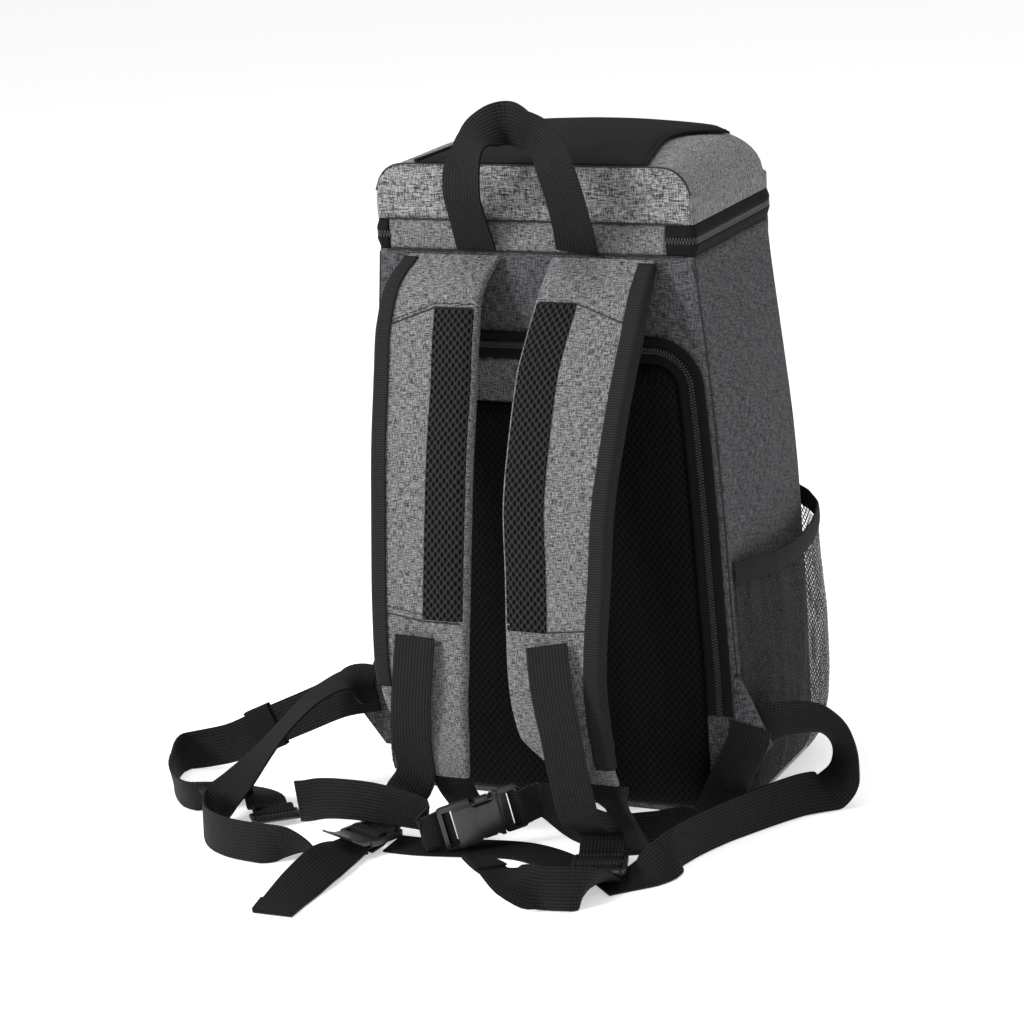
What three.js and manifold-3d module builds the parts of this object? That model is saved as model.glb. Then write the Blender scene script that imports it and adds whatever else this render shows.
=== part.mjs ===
import * as THREE from "three";
import { mergeVertices } from "three/addons/utils/BufferGeometryUtils.js";
import Module from "manifold-3d";

// Cooler backpack, standing on its flat base. Millimetres, +Z up.
// The harness side, which lies on the wearer's back, faces -Y. The origin is the centre of the base.

// Body: an insulated tube of padded walls, wider at the base than at the rim
const baseWidth = 280;
const bodyDepth = 180;
const bodyHeight = 405;
const bodyWall = 8;
const floorThickness = 8;
const backCornerRadius = 4;
const frontCornerRadius = 36;
const bodyBulge = 4;
const fit = 0.4;

// Zip ring and hinge band between the body and the lid
const zipBandHeight = 22;
const zipTapeThickness = 1.8;
const zipTeethHeight = 5;
const zipTeethThickness = 1.8;
const zipEndRight = 99;
const zipEndLeft = -110;
const sliderLength = 16;
const sliderWidth = 9;
const sliderThickness = 3;
const pullerLength = 28;

// Lid: a padded dome with a sharp seam at the back and round shoulders at the sides and the front
const lidSeamRise = 39;
const lidCrown = 10;
const lidShoulderRise = 10;
const shoulderWidthBack = 28;
const shoulderWidthFront = 54;
const lidFrontRound = 48;
const lidWall = 8;
const topPanelThickness = 1.6;
const topPanelClearance = 1.1;
const topPanelBackWidth = 172;
const pipingDiameter = 4;

// Back panel with its U-shaped zip
const backZipTop = 349;
const backZipBottom = 78;
const backZipTapeWidth = 19;
const backZipThickness = 1.4;
const backZipInset = 5;
const backZipCornerRadius = 42;
const meshPanelThickness = 7;
const meshPanelBevel = 5;
const meshPanelBottom = 6;
const patchHeight = 32;
const patchWidth = 110;

// Side pockets
const pocketHeight = 190;
const pocketDip = 7;
const pocketFrontRise = 12;
const pocketWall = 1.6;
const pocketBulge = 13;
const pocketBottom = 5;
const bindingHeight = 15;
const bindingThickness = 2.4;

// Shoulder straps
const strapWidth = 76;
const strapThickness = 12;
const strapEndThickness = 4;
const strapStandoff = 104;
const strapMeshWidth = 27;
const strapMeshThickness = 1.6;
const strapBindingWidth = 12;
const strapBindingThickness = 1.2;

// Webbing and its fittings
const webWidth = 30;
const webThickness = 1.6;
const lockLength = 30;
const lockWidth = 38;
const lockThickness = 4;
const lockSlot = 6;
const lockBar = 4;
const tongueLength = 16;
const keeperLength = 22;
const keeperThickness = 1;
const sliderBarWidth = 36;
const sliderBarLength = 18;
const sliderBarThickness = 2.4;
const sliderBar = 2.4;
const buckleLength = 60;
const buckleWidth = 38;
const buckleThickness = 11;
const buckleWall = 1.8;
const buckleMaleLength = 17;
const tabHeight = 76;
const tabReach = 24;
const tabThickness = 2.4;

const halfWidth = baseWidth / 2;
const halfDepth = bodyDepth / 2;

// Turns rows of numbers into records with named columns
function table(columns, rows) {
  const names = columns.split(" ");
  return rows.map((row) => Object.fromEntries(names.map((name, i) => [name, row[i]])));
}

// Reads a table at a value of its first column, linearly between rows
function readTable(rows, key, value) {
  const last = rows.length - 1;
  let i = 0;
  while (i < last - 1 && rows[i + 1][key] < value) i += 1;
  const a = rows[i];
  const b = rows[i + 1];
  const t = THREE.MathUtils.clamp((value - a[key]) / (b[key] - a[key]), 0, 1);
  const out = {};
  for (const name of Object.keys(a)) out[name] = THREE.MathUtils.lerp(a[name], b[name], t);
  return out;
}

// Body sections from the floor up: height as a share of the body height,
// width and front as shares of half the base width and half the depth, back likewise
const BODY_SECTIONS = table("height width back front", [
  [0.0, 0.915, 0.955, 0.88],
  [0.012, 0.965, 0.985, 0.94],
  [0.035, 0.99, 1.0, 0.98],
  [0.1, 0.998, 1.0, 1.0],
  [0.27, 0.99, 1.0, 1.01],
  [0.4, 0.974, 1.0, 1.01],
  [0.55, 0.957, 1.0, 1.0],
  [0.7, 0.933, 1.0, 0.98],
  [0.82, 0.905, 1.0, 0.96],
  [0.93, 0.873, 1.0, 0.945],
  [1.0, 0.855, 1.0, 0.94],
]);

function bodySection(z) {
  return readTable(BODY_SECTIONS, "height", z / bodyHeight);
}

function bodyHalfWidth(z) {
  return bodySection(z).width * halfWidth;
}

// Outline of the bag at a height, counterclockwise from the middle of the back, moved inwards by inset
const CORNER_STEPS = 4;
const SIDE_STEPS = 4;

function roundedOutline(half, back, front, radiusBack, radiusFront, bulge) {
  const corners = [
    { x: half - radiusBack, y: -back + radiusBack, r: radiusBack, from: -90 },
    { x: half - radiusFront, y: front - radiusFront, r: radiusFront, from: 0 },
    { x: -half + radiusFront, y: front - radiusFront, r: radiusFront, from: 90 },
    { x: -half + radiusBack, y: -back + radiusBack, r: radiusBack, from: 180 },
  ];
  const points = [];
  corners.forEach((corner, k) => {
    for (let i = 0; i <= CORNER_STEPS; i += 1) {
      const angle = THREE.MathUtils.degToRad(corner.from + (90 * i) / CORNER_STEPS);
      const x = corner.x + corner.r * Math.cos(angle);
      const y = corner.y + corner.r * Math.sin(angle);
      points.push(new THREE.Vector2(x, y));
    }
    const next = corners[(k + 1) % 4];
    const end = THREE.MathUtils.degToRad(corner.from + 90);
    const ax = corner.x + corner.r * Math.cos(end);
    const ay = corner.y + corner.r * Math.sin(end);
    const bx = next.x + next.r * Math.cos(end);
    const by = next.y + next.r * Math.sin(end);
    for (let i = 1; i < SIDE_STEPS; i += 1) {
      const t = i / SIDE_STEPS;
      const swell = k === 3 ? 0 : bulge * 4 * t * (1 - t);
      const x = THREE.MathUtils.lerp(ax, bx, t) + swell * Math.cos(end);
      const y = THREE.MathUtils.lerp(ay, by, t) + swell * Math.sin(end);
      points.push(new THREE.Vector2(x, y));
    }
  });
  return points;
}

function bagOutline(z, inset) {
  const section = bodySection(z);
  const swell = bodyBulge * Math.sin(Math.PI * THREE.MathUtils.clamp(z / bodyHeight, 0, 1));
  return roundedOutline(
    section.width * halfWidth - inset,
    section.back * halfDepth - inset,
    section.front * halfDepth - inset,
    Math.max(backCornerRadius - inset, 1.5),
    Math.max(frontCornerRadius - inset, 4),
    swell,
  );
}

// Closed solid through rings that have the same number of points, with its ends capped
function loft(rings) {
  const count = rings[0].length;
  const position = [];
  const index = [];
  rings.forEach((ring) => ring.forEach((p) => position.push(p.x, p.y, p.z)));
  for (let r = 0; r + 1 < rings.length; r += 1) {
    for (let i = 0; i < count; i += 1) {
      const a = r * count + i;
      const b = r * count + ((i + 1) % count);
      index.push(a, b, b + count, a, b + count, a + count);
    }
  }
  const cap = (offset, flip) => {
    const ring = rings[offset / count];
    const faces = capFaces(ring);
    faces.forEach(([a, b, c]) => {
      if (flip) index.push(offset + a, offset + c, offset + b);
      else index.push(offset + a, offset + b, offset + c);
    });
  };
  cap(0, true);
  cap((rings.length - 1) * count, false);
  return solidFrom(position, index);
}

// Triangles of a flat ring, worked out in the ring's own plane
function capFaces(ring) {
  const normal = new THREE.Vector3();
  for (let i = 0; i < ring.length; i += 1) {
    normal.add(new THREE.Vector3().crossVectors(ring[i], ring[(i + 1) % ring.length]));
  }
  normal.normalize();
  const side = new THREE.Vector3(1, 0, 0);
  if (Math.abs(normal.x) > 0.8) side.set(0, 1, 0);
  const u = new THREE.Vector3().crossVectors(side, normal).normalize();
  const v = new THREE.Vector3().crossVectors(normal, u);
  const flat = ring.map((p) => new THREE.Vector2(p.dot(u), p.dot(v)));
  return THREE.ShapeUtils.triangulateShape(flat, []);
}

// Closed thin solid between two grids of points that have the same rows and columns
function slab(inner, outer) {
  const rows = inner.length;
  const columns = inner[0].length;
  const position = [];
  const index = [];
  [inner, outer].forEach((grid) => grid.forEach((row) => row.forEach((p) => position.push(p.x, p.y, p.z))));
  const low = (r, c) => r * columns + c;
  const high = (r, c) => rows * columns + r * columns + c;
  const quad = (a, b, c, d) => index.push(a, b, c, a, c, d);
  for (let r = 0; r + 1 < rows; r += 1) {
    for (let c = 0; c + 1 < columns; c += 1) {
      quad(low(r, c), low(r + 1, c), low(r + 1, c + 1), low(r, c + 1));
      quad(high(r, c), high(r, c + 1), high(r + 1, c + 1), high(r + 1, c));
    }
    quad(low(r, 0), high(r, 0), high(r + 1, 0), low(r + 1, 0));
    quad(low(r + 1, columns - 1), high(r + 1, columns - 1), high(r, columns - 1), low(r, columns - 1));
  }
  for (let c = 0; c + 1 < columns; c += 1) {
    quad(low(0, c + 1), high(0, c + 1), high(0, c), low(0, c));
    quad(low(rows - 1, c), high(rows - 1, c), high(rows - 1, c + 1), low(rows - 1, c + 1));
  }
  return solidFrom(position, index);
}

// Geometry whose faces are turned outwards, whichever way its rings were listed
function solidFrom(position, index) {
  let volume = 0;
  const at = (i) => new THREE.Vector3().fromArray(position, i * 3);
  for (let i = 0; i < index.length; i += 3) {
    volume += at(index[i]).dot(at(index[i + 1]).cross(at(index[i + 2])));
  }
  if (volume < 0) {
    for (let i = 0; i < index.length; i += 3) {
      [index[i + 1], index[i + 2]] = [index[i + 2], index[i + 1]];
    }
  }
  const geometry = new THREE.BufferGeometry();
  geometry.setAttribute("position", new THREE.Float32BufferAttribute(position, 3));
  geometry.setIndex(index);
  return geometry;
}

// Boolean joins and cuts
const wasm = await Module();
wasm.setup();

function asManifold(geometry) {
  const bare = geometry.clone();
  bare.deleteAttribute("normal");
  bare.deleteAttribute("uv");
  const merged = mergeVertices(bare, 1e-4);
  return new wasm.Manifold(
    new wasm.Mesh({
      numProp: 3,
      vertProperties: new Float32Array(merged.attributes.position.array),
      triVerts: new Uint32Array(merged.index.array),
    }),
  );
}

function fromManifold(solid) {
  const mesh = solid.getMesh();
  const geometry = new THREE.BufferGeometry();
  geometry.setAttribute("position", new THREE.Float32BufferAttribute(mesh.vertProperties, 3));
  geometry.setIndex([...mesh.triVerts]);
  return geometry;
}

function boxAt(length, width, height, x, y, z) {
  return new THREE.BoxGeometry(length, width, height).translate(x, y, z);
}

// Materials, one for each finish
function finish(color, roughness, metalness = 0) {
  return new THREE.MeshStandardMaterial({ color, roughness, metalness });
}

const heatherLight = finish(0x7d7d80, 0.95);
const heatherDark = finish(0x58585c, 0.95);
const blackFabric = finish(0x2a2a2c, 0.85);
const blackMesh = finish(0x141415, 0.95);
const netBlack = finish(0x2c2c2e, 0.9);
const ribbedBinding = finish(0x38383a, 0.9);
const webBlack = finish(0x222223, 0.85);
const zipBlack = finish(0x1b1b1c, 0.7);
const buckleBlack = finish(0x2b2b2d, 0.4);

const backpack = new THREE.Group();

function add(name, geometry, material) {
  const mesh = new THREE.Mesh(geometry, material);
  mesh.name = name;
  backpack.add(mesh);
  return mesh;
}

// Body shell: one open tube with a floor, its rim round the top
function ringAt(outline, z) {
  return outline.map((p) => new THREE.Vector3(p.x, p.y, z));
}

function buildBody() {
  const heights = BODY_SECTIONS.map((row) => row.height * bodyHeight);
  const outer = heights.map((z) => ringAt(bagOutline(z, 0), z));
  const inside = [bodyHeight, 0.82 * bodyHeight, 0.4 * bodyHeight, 0.1 * bodyHeight, floorThickness];
  const inner = inside.map((z) => ringAt(bagOutline(z, bodyWall), z));
  return loft([...outer, ...inner]);
}

add("body_shell", buildBody(), heatherLight);

// Rim outline and the run of the zip round it
const rim = bagOutline(bodyHeight, 0);

function outlineNormals(points) {
  return points.map((p, i) => {
    const before = points[(i + points.length - 1) % points.length];
    const after = points[(i + 1) % points.length];
    const along = new THREE.Vector2().subVectors(after, before).normalize();
    return new THREE.Vector2(along.y, -along.x);
  });
}

// Part of the rim from one place on the back edge to another, the long way round or along the back
function rimRun(fromX, toX, alongBack) {
  const backY = rim[0].y;
  const normals = outlineNormals(rim);
  const run = [{ p: new THREE.Vector2(fromX, backY), n: new THREE.Vector2(0, -1) }];
  if (!alongBack) {
    const stop = rim.length - (SIDE_STEPS - 1);
    for (let i = 0; i < stop; i += 1) run.push({ p: rim[i], n: normals[i] });
  }
  run.push({ p: new THREE.Vector2(toX, backY), n: new THREE.Vector2(0, -1) });
  return run;
}

function band(run, zLow, zHigh, innerOffset, outerOffset) {
  const place = (offset) =>
    run.map(({ p, n }) => {
      const q = p.clone().addScaledVector(n, offset);
      return [new THREE.Vector3(q.x, q.y, zLow), new THREE.Vector3(q.x, q.y, zHigh)];
    });
  return slab(place(innerOffset), place(outerOffset));
}

const zipLow = bodyHeight + fit;
const lidRim = bodyHeight + zipBandHeight;
const zipHigh = lidRim - fit;
const zipMiddle = (zipLow + zipHigh) / 2;
const zipRun = rimRun(zipEndRight + fit, zipEndLeft - fit, false);
const hingeRun = rimRun(zipEndLeft, zipEndRight, true);
add("hinge_band", band(hingeRun, zipLow, zipHigh, -zipTapeThickness, 0.6), heatherLight);
add("lid_zip_tape_lower", band(zipRun, zipLow, zipMiddle - fit / 2, -zipTapeThickness, 0), zipBlack);
add("lid_zip_tape_upper", band(zipRun, zipMiddle + fit / 2, zipHigh, -zipTapeThickness, 0), zipBlack);
add(
  "lid_zip_teeth",
  band(zipRun, zipMiddle - zipTeethHeight / 2, zipMiddle + zipTeethHeight / 2, fit, fit + zipTeethThickness),
  zipBlack,
);

// Zip slider with its hanging puller, closed at the middle of the front
function buildSlider() {
  const frontY = Math.max(...rim.map((p) => p.y));
  const y = frontY + fit * 2 + zipTeethThickness + sliderThickness / 2;
  const body = boxAt(sliderLength, sliderThickness, sliderWidth, 0, y, zipMiddle);
  const pullerY = y + sliderThickness / 2;
  const puller = boxAt(6, 2, pullerLength, 0, pullerY, zipMiddle - pullerLength / 2 + 2);
  return fromManifold(asManifold(body).add(asManifold(puller)));
}

add("lid_zip_slider", buildSlider(), zipBlack);

// Lid dome: height of its outer face over a point of the plan
const lidHalf = bodyHalfWidth(bodyHeight);
const lidFront = bodySection(bodyHeight).front * halfDepth;

function lidTop(x, y) {
  const forward = THREE.MathUtils.clamp((y + halfDepth) / (2 * halfDepth), 0, 1);
  const shoulder = THREE.MathUtils.lerp(shoulderWidthBack, shoulderWidthFront, forward);
  const sideShare = Math.max(0, (Math.abs(x) - (lidHalf - shoulder)) / shoulder);
  const frontShare = Math.max(0, (y - (lidFront - lidFrontRound)) / lidFrontRound);
  const fall = Math.min(1, sideShare ** 3 + frontShare ** 2);
  const round = Math.sqrt(1 - fall);
  const shoulderHeight = lidRim + lidShoulderRise;
  const crown = lidCrown * Math.max(0, Math.sin(Math.PI * Math.min(1, 0.75 * (forward + 0.001))));
  const seam = lidSeamRise - lidShoulderRise;
  return shoulderHeight + (seam + crown * (1 - (x / lidHalf) ** 2)) * round;
}

// Rings of the lid shrink from the rim towards its middle
const LID_SHRINK = [1, 0.985, 0.955, 0.91, 0.85, 0.75, 0.6, 0.4, 0.18];
const lidMiddle = new THREE.Vector2(0, -6);

function lidRing(outline, share, lift) {
  return outline.map((p) => {
    const q = new THREE.Vector2().lerpVectors(lidMiddle, p, share);
    return new THREE.Vector3(q.x, q.y, lidTop(q.x, q.y) - lift);
  });
}

function buildLid() {
  const outerEdge = rim;
  const innerEdge = bagOutline(bodyHeight, lidWall);
  const rings = [];
  const innerShares = [0.2, 0.55, 0.8, 0.93, 1];
  innerShares.forEach((share) => {
    rings.push(
      innerEdge.map((p) => {
        const q = new THREE.Vector2().lerpVectors(lidMiddle, p, share);
        return new THREE.Vector3(q.x, q.y, Math.max(lidTop(q.x, q.y) - lidWall, lidRim + 2));
      }),
    );
  });
  rings.push(ringAt(innerEdge, lidRim));
  rings.push(ringAt(outerEdge, lidRim));
  LID_SHRINK.forEach((share) => rings.push(lidRing(outerEdge, share, 0)));
  return loft(rings);
}

add("lid_shell", buildLid(), heatherDark);

// Black panel over the lid: its edge runs in from the back seam and flares to the sides at the front
const PANEL_EDGE = table("forward edge", [
  [0.0, 1.0],
  [0.17, 0.92],
  [0.36, 0.84],
  [0.47, 0.83],
  [0.56, 0.88],
  [0.63, 0.98],
  [0.7, 1.08],
  [0.8, 1.1],
  [0.9, 1.02],
  [0.96, 0.9],
]);

function lidNormal(x, y) {
  const step = 0.5;
  const dx = (lidTop(x + step, y) - lidTop(x - step, y)) / (2 * step);
  const dy = (lidTop(x, y + step) - lidTop(x, y - step)) / (2 * step);
  return new THREE.Vector3(-dx, -dy, 1).normalize();
}

function onLid(x, y, offset) {
  return new THREE.Vector3(x, y, lidTop(x, y)).addScaledVector(lidNormal(x, y), offset);
}

function panelPoint(forward, across, offset) {
  const y = THREE.MathUtils.lerp(-halfDepth, lidFront, forward);
  const edge = (readTable(PANEL_EDGE, "forward", forward).edge * topPanelBackWidth) / 2;
  return onLid(edge * across, y + 1, offset);
}

function buildTopPanel() {
  const forwards = PANEL_EDGE.map((row) => row.forward);
  const acrosses = [-1, -0.92, -0.8, -0.6, -0.3, 0, 0.3, 0.6, 0.8, 0.92, 1];
  const grid = (offset) => forwards.map((f) => acrosses.map((a) => panelPoint(f, a, offset)));
  const high = topPanelClearance + topPanelThickness;
  return slab(grid(topPanelClearance), grid(high));
}

add("lid_top_panel", buildTopPanel(), blackFabric);

// Piping along the free edges of the top panel
function buildPiping(side) {
  const stations = [];
  const steps = 16;
  for (let i = 0; i <= steps; i += 1) {
    const forward = (i / steps) * 0.62;
    const y = THREE.MathUtils.lerp(-halfDepth, lidFront, forward);
    const edge = (readTable(PANEL_EDGE, "forward", forward).edge * topPanelBackWidth) / 2;
    const lift = topPanelClearance + pipingDiameter / 2;
    const p = onLid(side * (edge + pipingDiameter / 2 + fit), y + 1, lift);
    stations.push({ p, across: new THREE.Vector3(1, 0, 0) });
  }
  const r = pipingDiameter / 2;
  const round = [0, 1, 2, 3, 4, 5].map((k) => [r * Math.cos((k * Math.PI) / 3), r * Math.sin((k * Math.PI) / 3)]);
  return sweep(stations, () => round);
}

// Frames along a path: across is the width direction at each station, face the direction it looks in
function frames(stations) {
  return stations.map((station, i) => {
    const before = stations[Math.max(0, i - 1)].p;
    const after = stations[Math.min(stations.length - 1, i + 1)].p;
    const along = new THREE.Vector3().subVectors(after, before);
    if (station.level) along.x = 0;
    along.normalize();
    const across = station.across.clone().addScaledVector(along, -along.dot(station.across)).normalize();
    const face = new THREE.Vector3().crossVectors(along, across);
    const at = (w, t) => station.p.clone().addScaledVector(across, w).addScaledVector(face, t);
    return { station, at };
  });
}

// Sweep of a section along a path
function sweep(stations, sectionAt) {
  return loft(frames(stations).map(({ station, at }, i) => sectionAt(station, i).map(([w, t]) => at(w, t))));
}

// Flat web along a path, lifted off the floor where it would reach below it
function ribbon(stations, width, thickness) {
  const w = width / 2;
  const t = thickness / 2;
  const rows = frames(stations).map(({ at }) => {
    const corners = [at(-w, -t), at(w, -t), at(-w, t), at(w, t)];
    const low = Math.min(...corners.map((p) => p.z));
    if (low < fit) corners.forEach((p) => p.setZ(p.z + fit - low));
    return corners;
  });
  return slab(
    rows.map((corners) => corners.slice(0, 2)),
    rows.map((corners) => corners.slice(2)),
  );
}

add("lid_piping_left", buildPiping(-1), blackFabric);
add("lid_piping_right", buildPiping(1), blackFabric);

// Back panel: an arch of zip round a padded mesh panel, all on the flat back face
const backFace = -halfDepth;

// Arch of the zip at a distance inside the side seams, from the right foot over the top to the left foot
function archOutline(inset, bottom) {
  const top = backZipTop - inset + backZipInset;
  const radius = Math.max(backZipCornerRadius - inset, 6);
  const right = [];
  const sideSteps = 5;
  const sideTop = top - radius;
  for (let i = 0; i <= sideSteps; i += 1) {
    const z = THREE.MathUtils.lerp(bottom, sideTop, i / sideSteps);
    right.push(new THREE.Vector2(bodyHalfWidth(z) - inset, z));
  }
  const shoulder = right[right.length - 1].x - radius;
  for (let i = 1; i <= 5; i += 1) {
    const angle = (Math.PI / 2) * (i / 5);
    right.push(new THREE.Vector2(shoulder + radius * Math.cos(angle), sideTop + radius * Math.sin(angle)));
  }
  const left = right.map((p) => new THREE.Vector2(-p.x, p.y)).reverse();
  return [...right, ...left];
}

function backStrip(insetOuter, insetInner, near, far) {
  const outer = archOutline(insetOuter, backZipBottom);
  const inner = archOutline(insetInner, backZipBottom);
  const grid = (y) => outer.map((p, i) => [
    new THREE.Vector3(p.x, y, p.y),
    new THREE.Vector3(inner[i].x, y, inner[i].y),
  ]);
  return slab(grid(backFace - near), grid(backFace - far));
}

const tapeFar = fit + backZipThickness;
const teethInset = backZipInset + backZipTapeWidth / 2;
add("back_zip_tape", backStrip(backZipInset, backZipInset + backZipTapeWidth, fit, tapeFar), zipBlack);
add(
  "back_zip_teeth",
  backStrip(
    teethInset - zipTeethHeight / 2,
    teethInset + zipTeethHeight / 2,
    tapeFar + fit,
    tapeFar + fit + zipTeethThickness,
  ),
  zipBlack,
);

// Padded mesh panel inside the arch, bevelled all round, with the grey patch above it
const panelInset = backZipInset + backZipTapeWidth + fit;
const panelTop = backZipTop - backZipTapeWidth - fit;
const patchBottom = panelTop - patchHeight;

function meshOutline(extra) {
  const outline = archOutline(panelInset + extra, meshPanelBottom + extra);
  const half = patchWidth / 2 + fit + extra;
  const low = patchBottom - fit - extra;
  const top = Math.max(...outline.map((p) => p.y));
  const middle = outline.length / 2;
  const notch = [
    new THREE.Vector2(half, top),
    new THREE.Vector2(half, low),
    new THREE.Vector2(-half, low),
    new THREE.Vector2(-half, top),
  ];
  return [...outline.slice(0, middle), ...notch, ...outline.slice(middle)];
}

function buildMeshPanel() {
  const ring = (extra, y) => meshOutline(extra).map((p) => new THREE.Vector3(p.x, backFace - y, p.y));
  return loft([ring(0, fit), ring(0, 2), ring(meshPanelBevel, meshPanelThickness)]);
}

add("back_mesh_panel", buildMeshPanel(), blackMesh);
add(
  "back_patch",
  boxAt(patchWidth, 2, patchHeight, 0, backFace - fit - 1, panelTop - patchHeight / 2),
  heatherLight,
);

// Side pockets: net sheets that stand off the side wall, open at the top under a stretch binding
const POCKET_RUN = table("forward top swell", [
  [0.0, 0.0, 0.0],
  [0.1, -0.2, 0.45],
  [0.25, -0.7, 0.85],
  [0.45, -1.0, 1.0],
  [0.65, -0.75, 1.0],
  [0.8, 0.1, 0.9],
  [0.92, 0.8, 0.5],
  [1.0, 1.0, 0.0],
]);
const POCKET_RISE = table("rise swell", [
  [0.0, 0.0],
  [0.055, 0.35],
  [0.12, 0.6],
  [0.21, 0.8],
  [0.35, 0.95],
  [0.62, 1.0],
  [0.8, 0.95],
  [1.0, 0.85],
]);

// Points of the outline from the back seam to past the round front corner, with their shares of the run
const POCKET_POINTS = CORNER_STEPS + SIDE_STEPS;

function wallRun(z) {
  return bagOutline(z, 0).slice(CORNER_STEPS, CORNER_STEPS + POCKET_POINTS + 1);
}

const pocketShares = (() => {
  const run = wallRun(pocketHeight / 2);
  const lengths = [0];
  for (let i = 1; i < run.length; i += 1) lengths.push(lengths[i - 1] + run[i].distanceTo(run[i - 1]));
  return lengths.map((length) => length / lengths[lengths.length - 1]);
})();

// Point on the side wall at a place along that run, moved out from the wall
function wallPoint(place, z, offset) {
  const run = wallRun(z);
  const i = Math.min(Math.floor(place), POCKET_POINTS - 1);
  const p = new THREE.Vector2().lerpVectors(run[i], run[i + 1], place - i);
  const round = THREE.MathUtils.clamp((place - SIDE_STEPS) / CORNER_STEPS, 0, 1);
  const angle = (Math.PI / 2) * round;
  p.x += offset * Math.cos(angle);
  p.y += offset * Math.sin(angle);
  return p;
}

function pocketTop(forward) {
  const top = readTable(POCKET_RUN, "forward", forward).top;
  return pocketHeight + (top < 0 ? pocketDip : pocketFrontRise) * top;
}

function pocketOffset(forward, rise) {
  const across = readTable(POCKET_RUN, "forward", forward).swell;
  const up = readTable(POCKET_RISE, "rise", rise).swell;
  return 2 * fit + pocketBulge * across * up;
}

function pocketGrid(side, rises, extra, clip) {
  const columns = [];
  for (let place = 0; place <= POCKET_POINTS; place += 0.5) columns.push(place);
  return columns.map((place) => {
    const i = Math.min(Math.floor(place), POCKET_POINTS - 1);
    const forward = THREE.MathUtils.lerp(pocketShares[i], pocketShares[i + 1], place - i);
    return rises.map((rise) => {
      const top = pocketTop(forward) - bindingHeight - fit;
      const z = clip ? clip(forward, rise) : THREE.MathUtils.lerp(pocketBottom, top, rise);
      const p = wallPoint(place, z, pocketOffset(forward, clip ? 1 : rise) + extra);
      return new THREE.Vector3(side * p.x, p.y, z);
    });
  });
}

function buildPocket(side) {
  const rises = POCKET_RISE.map((row) => row.rise);
  return slab(pocketGrid(side, rises, 0), pocketGrid(side, rises, pocketWall));
}

function buildPocketBinding(side) {
  const clip = (forward, rise) => pocketTop(forward) - bindingHeight * (1 - rise);
  return slab(pocketGrid(side, [0, 1], 0, clip), pocketGrid(side, [0, 1], bindingThickness, clip));
}

for (const [side, word] of [[-1, "left"], [1, "right"]]) {
  add(`side_pocket_${word}`, buildPocket(side), netBlack);
  add(`pocket_binding_${word}`, buildPocketBinding(side), ribbedBinding);
}

// Corner tabs: triangles of folded fabric in the side seams, where the webs are sewn on
const tabMiddle = 70;

function buildTab(side) {
  const edge = bodyHalfWidth(tabMiddle);
  const corner = (x, z) => [x * side, z];
  const flat = [
    corner(edge - 3, tabMiddle + tabHeight / 2),
    corner(edge - 3, tabMiddle - tabHeight / 2),
    corner(edge + 2, tabMiddle - tabHeight / 2),
    corner(edge + tabReach, tabMiddle - tabHeight / 8),
    corner(edge + 2, tabMiddle + tabHeight / 2),
  ];
  const ring = (y) => flat.map(([x, z]) => new THREE.Vector3(x, y, z));
  return loft([ring(backFace - fit), ring(backFace - fit - tabThickness)]);
}

add("corner_tab_left", buildTab(-1), heatherDark);
add("corner_tab_right", buildTab(1), heatherDark);

// Webbing: routes as shares of half the base width, half the depth and the web width.
// Turn and lift give the direction across the web, in degrees round the upright and above the level.
const HANDLE_ROUTE = table("across out up turn lift", [
  [-0.293, 1.044, 13.567, 0, 180],
  [-0.293, 1.156, 14.267, -8, 181],
  [-0.264, 1.344, 15.067, -15, 184],
  [-0.207, 1.456, 15.800, -18, 186],
  [-0.165, 1.422, 16.314, -30, 165],
  [-0.104, 1.311, 16.534, -40, 125],
  [-0.039, 1.222, 16.608, -90, 100],
  [0.084, 1.267, 16.453, -40, 55],
  [0.207, 1.378, 16.176, -20, 25],
  [0.276, 1.444, 15.630, -8, 6],
  [0.293, 1.267, 14.333, -4, 0],
  [0.250, 1.044, 13.567, 0, 0],
]);

const STRAP_WEB_LEFT = table("across out up turn lift", [
  [-0.407, 2.189, 5.200, 0, 0],
  [-0.414, 2.256, 4.333, 0, 0],
  [-0.429, 2.278, 3.500, 0, 0],
  [-0.443, 2.256, 2.600, 0, 0],
  [-0.457, 2.189, 1.733, -8, 0],
]);

const STRAP_WEB_RIGHT = table("across out up turn lift", [
  [0.300, 2.178, 5.233, 0, 0],
  [0.343, 2.289, 4.333, 0, 0],
  [0.407, 2.378, 3.333, 0, 0],
  [0.443, 2.378, 2.200, 0, 0],
  [0.493, 2.356, 1.200, 0, 0],
]);

const ADJUSTER_LEFT = table("across out up turn lift", [
  [-1.040, 1.093, 2.633, 0, 90],
  [-1.147, 1.247, 2.876, 115, 8],
  [-1.254, 1.380, 2.655, 115, 8],
  [-1.318, 1.502, 2.390, 115, 8],
  [-1.391, 1.658, 1.976, 115, 10],
  [-1.470, 1.836, 1.456, 115, 18],
  [-1.556, 2.058, 0.880, 115, 34],
  [-1.641, 2.258, 0.440, 110, 60],
  [-1.596, 2.469, 0.587, 0, 86],
  [-1.500, 2.689, 0.533, 0, 90],
  [-1.336, 2.844, 0.533, 0, 90],
  [-1.129, 2.878, 0.513, 0, 90],
  [-1.021, 2.822, 0.433, -8, 62],
  [-0.929, 2.700, 0.167, -25, 18],
  [-0.850, 2.567, 0.047, -38, 0],
  [-0.736, 2.367, 0.043, -30, 0],
]);

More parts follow.
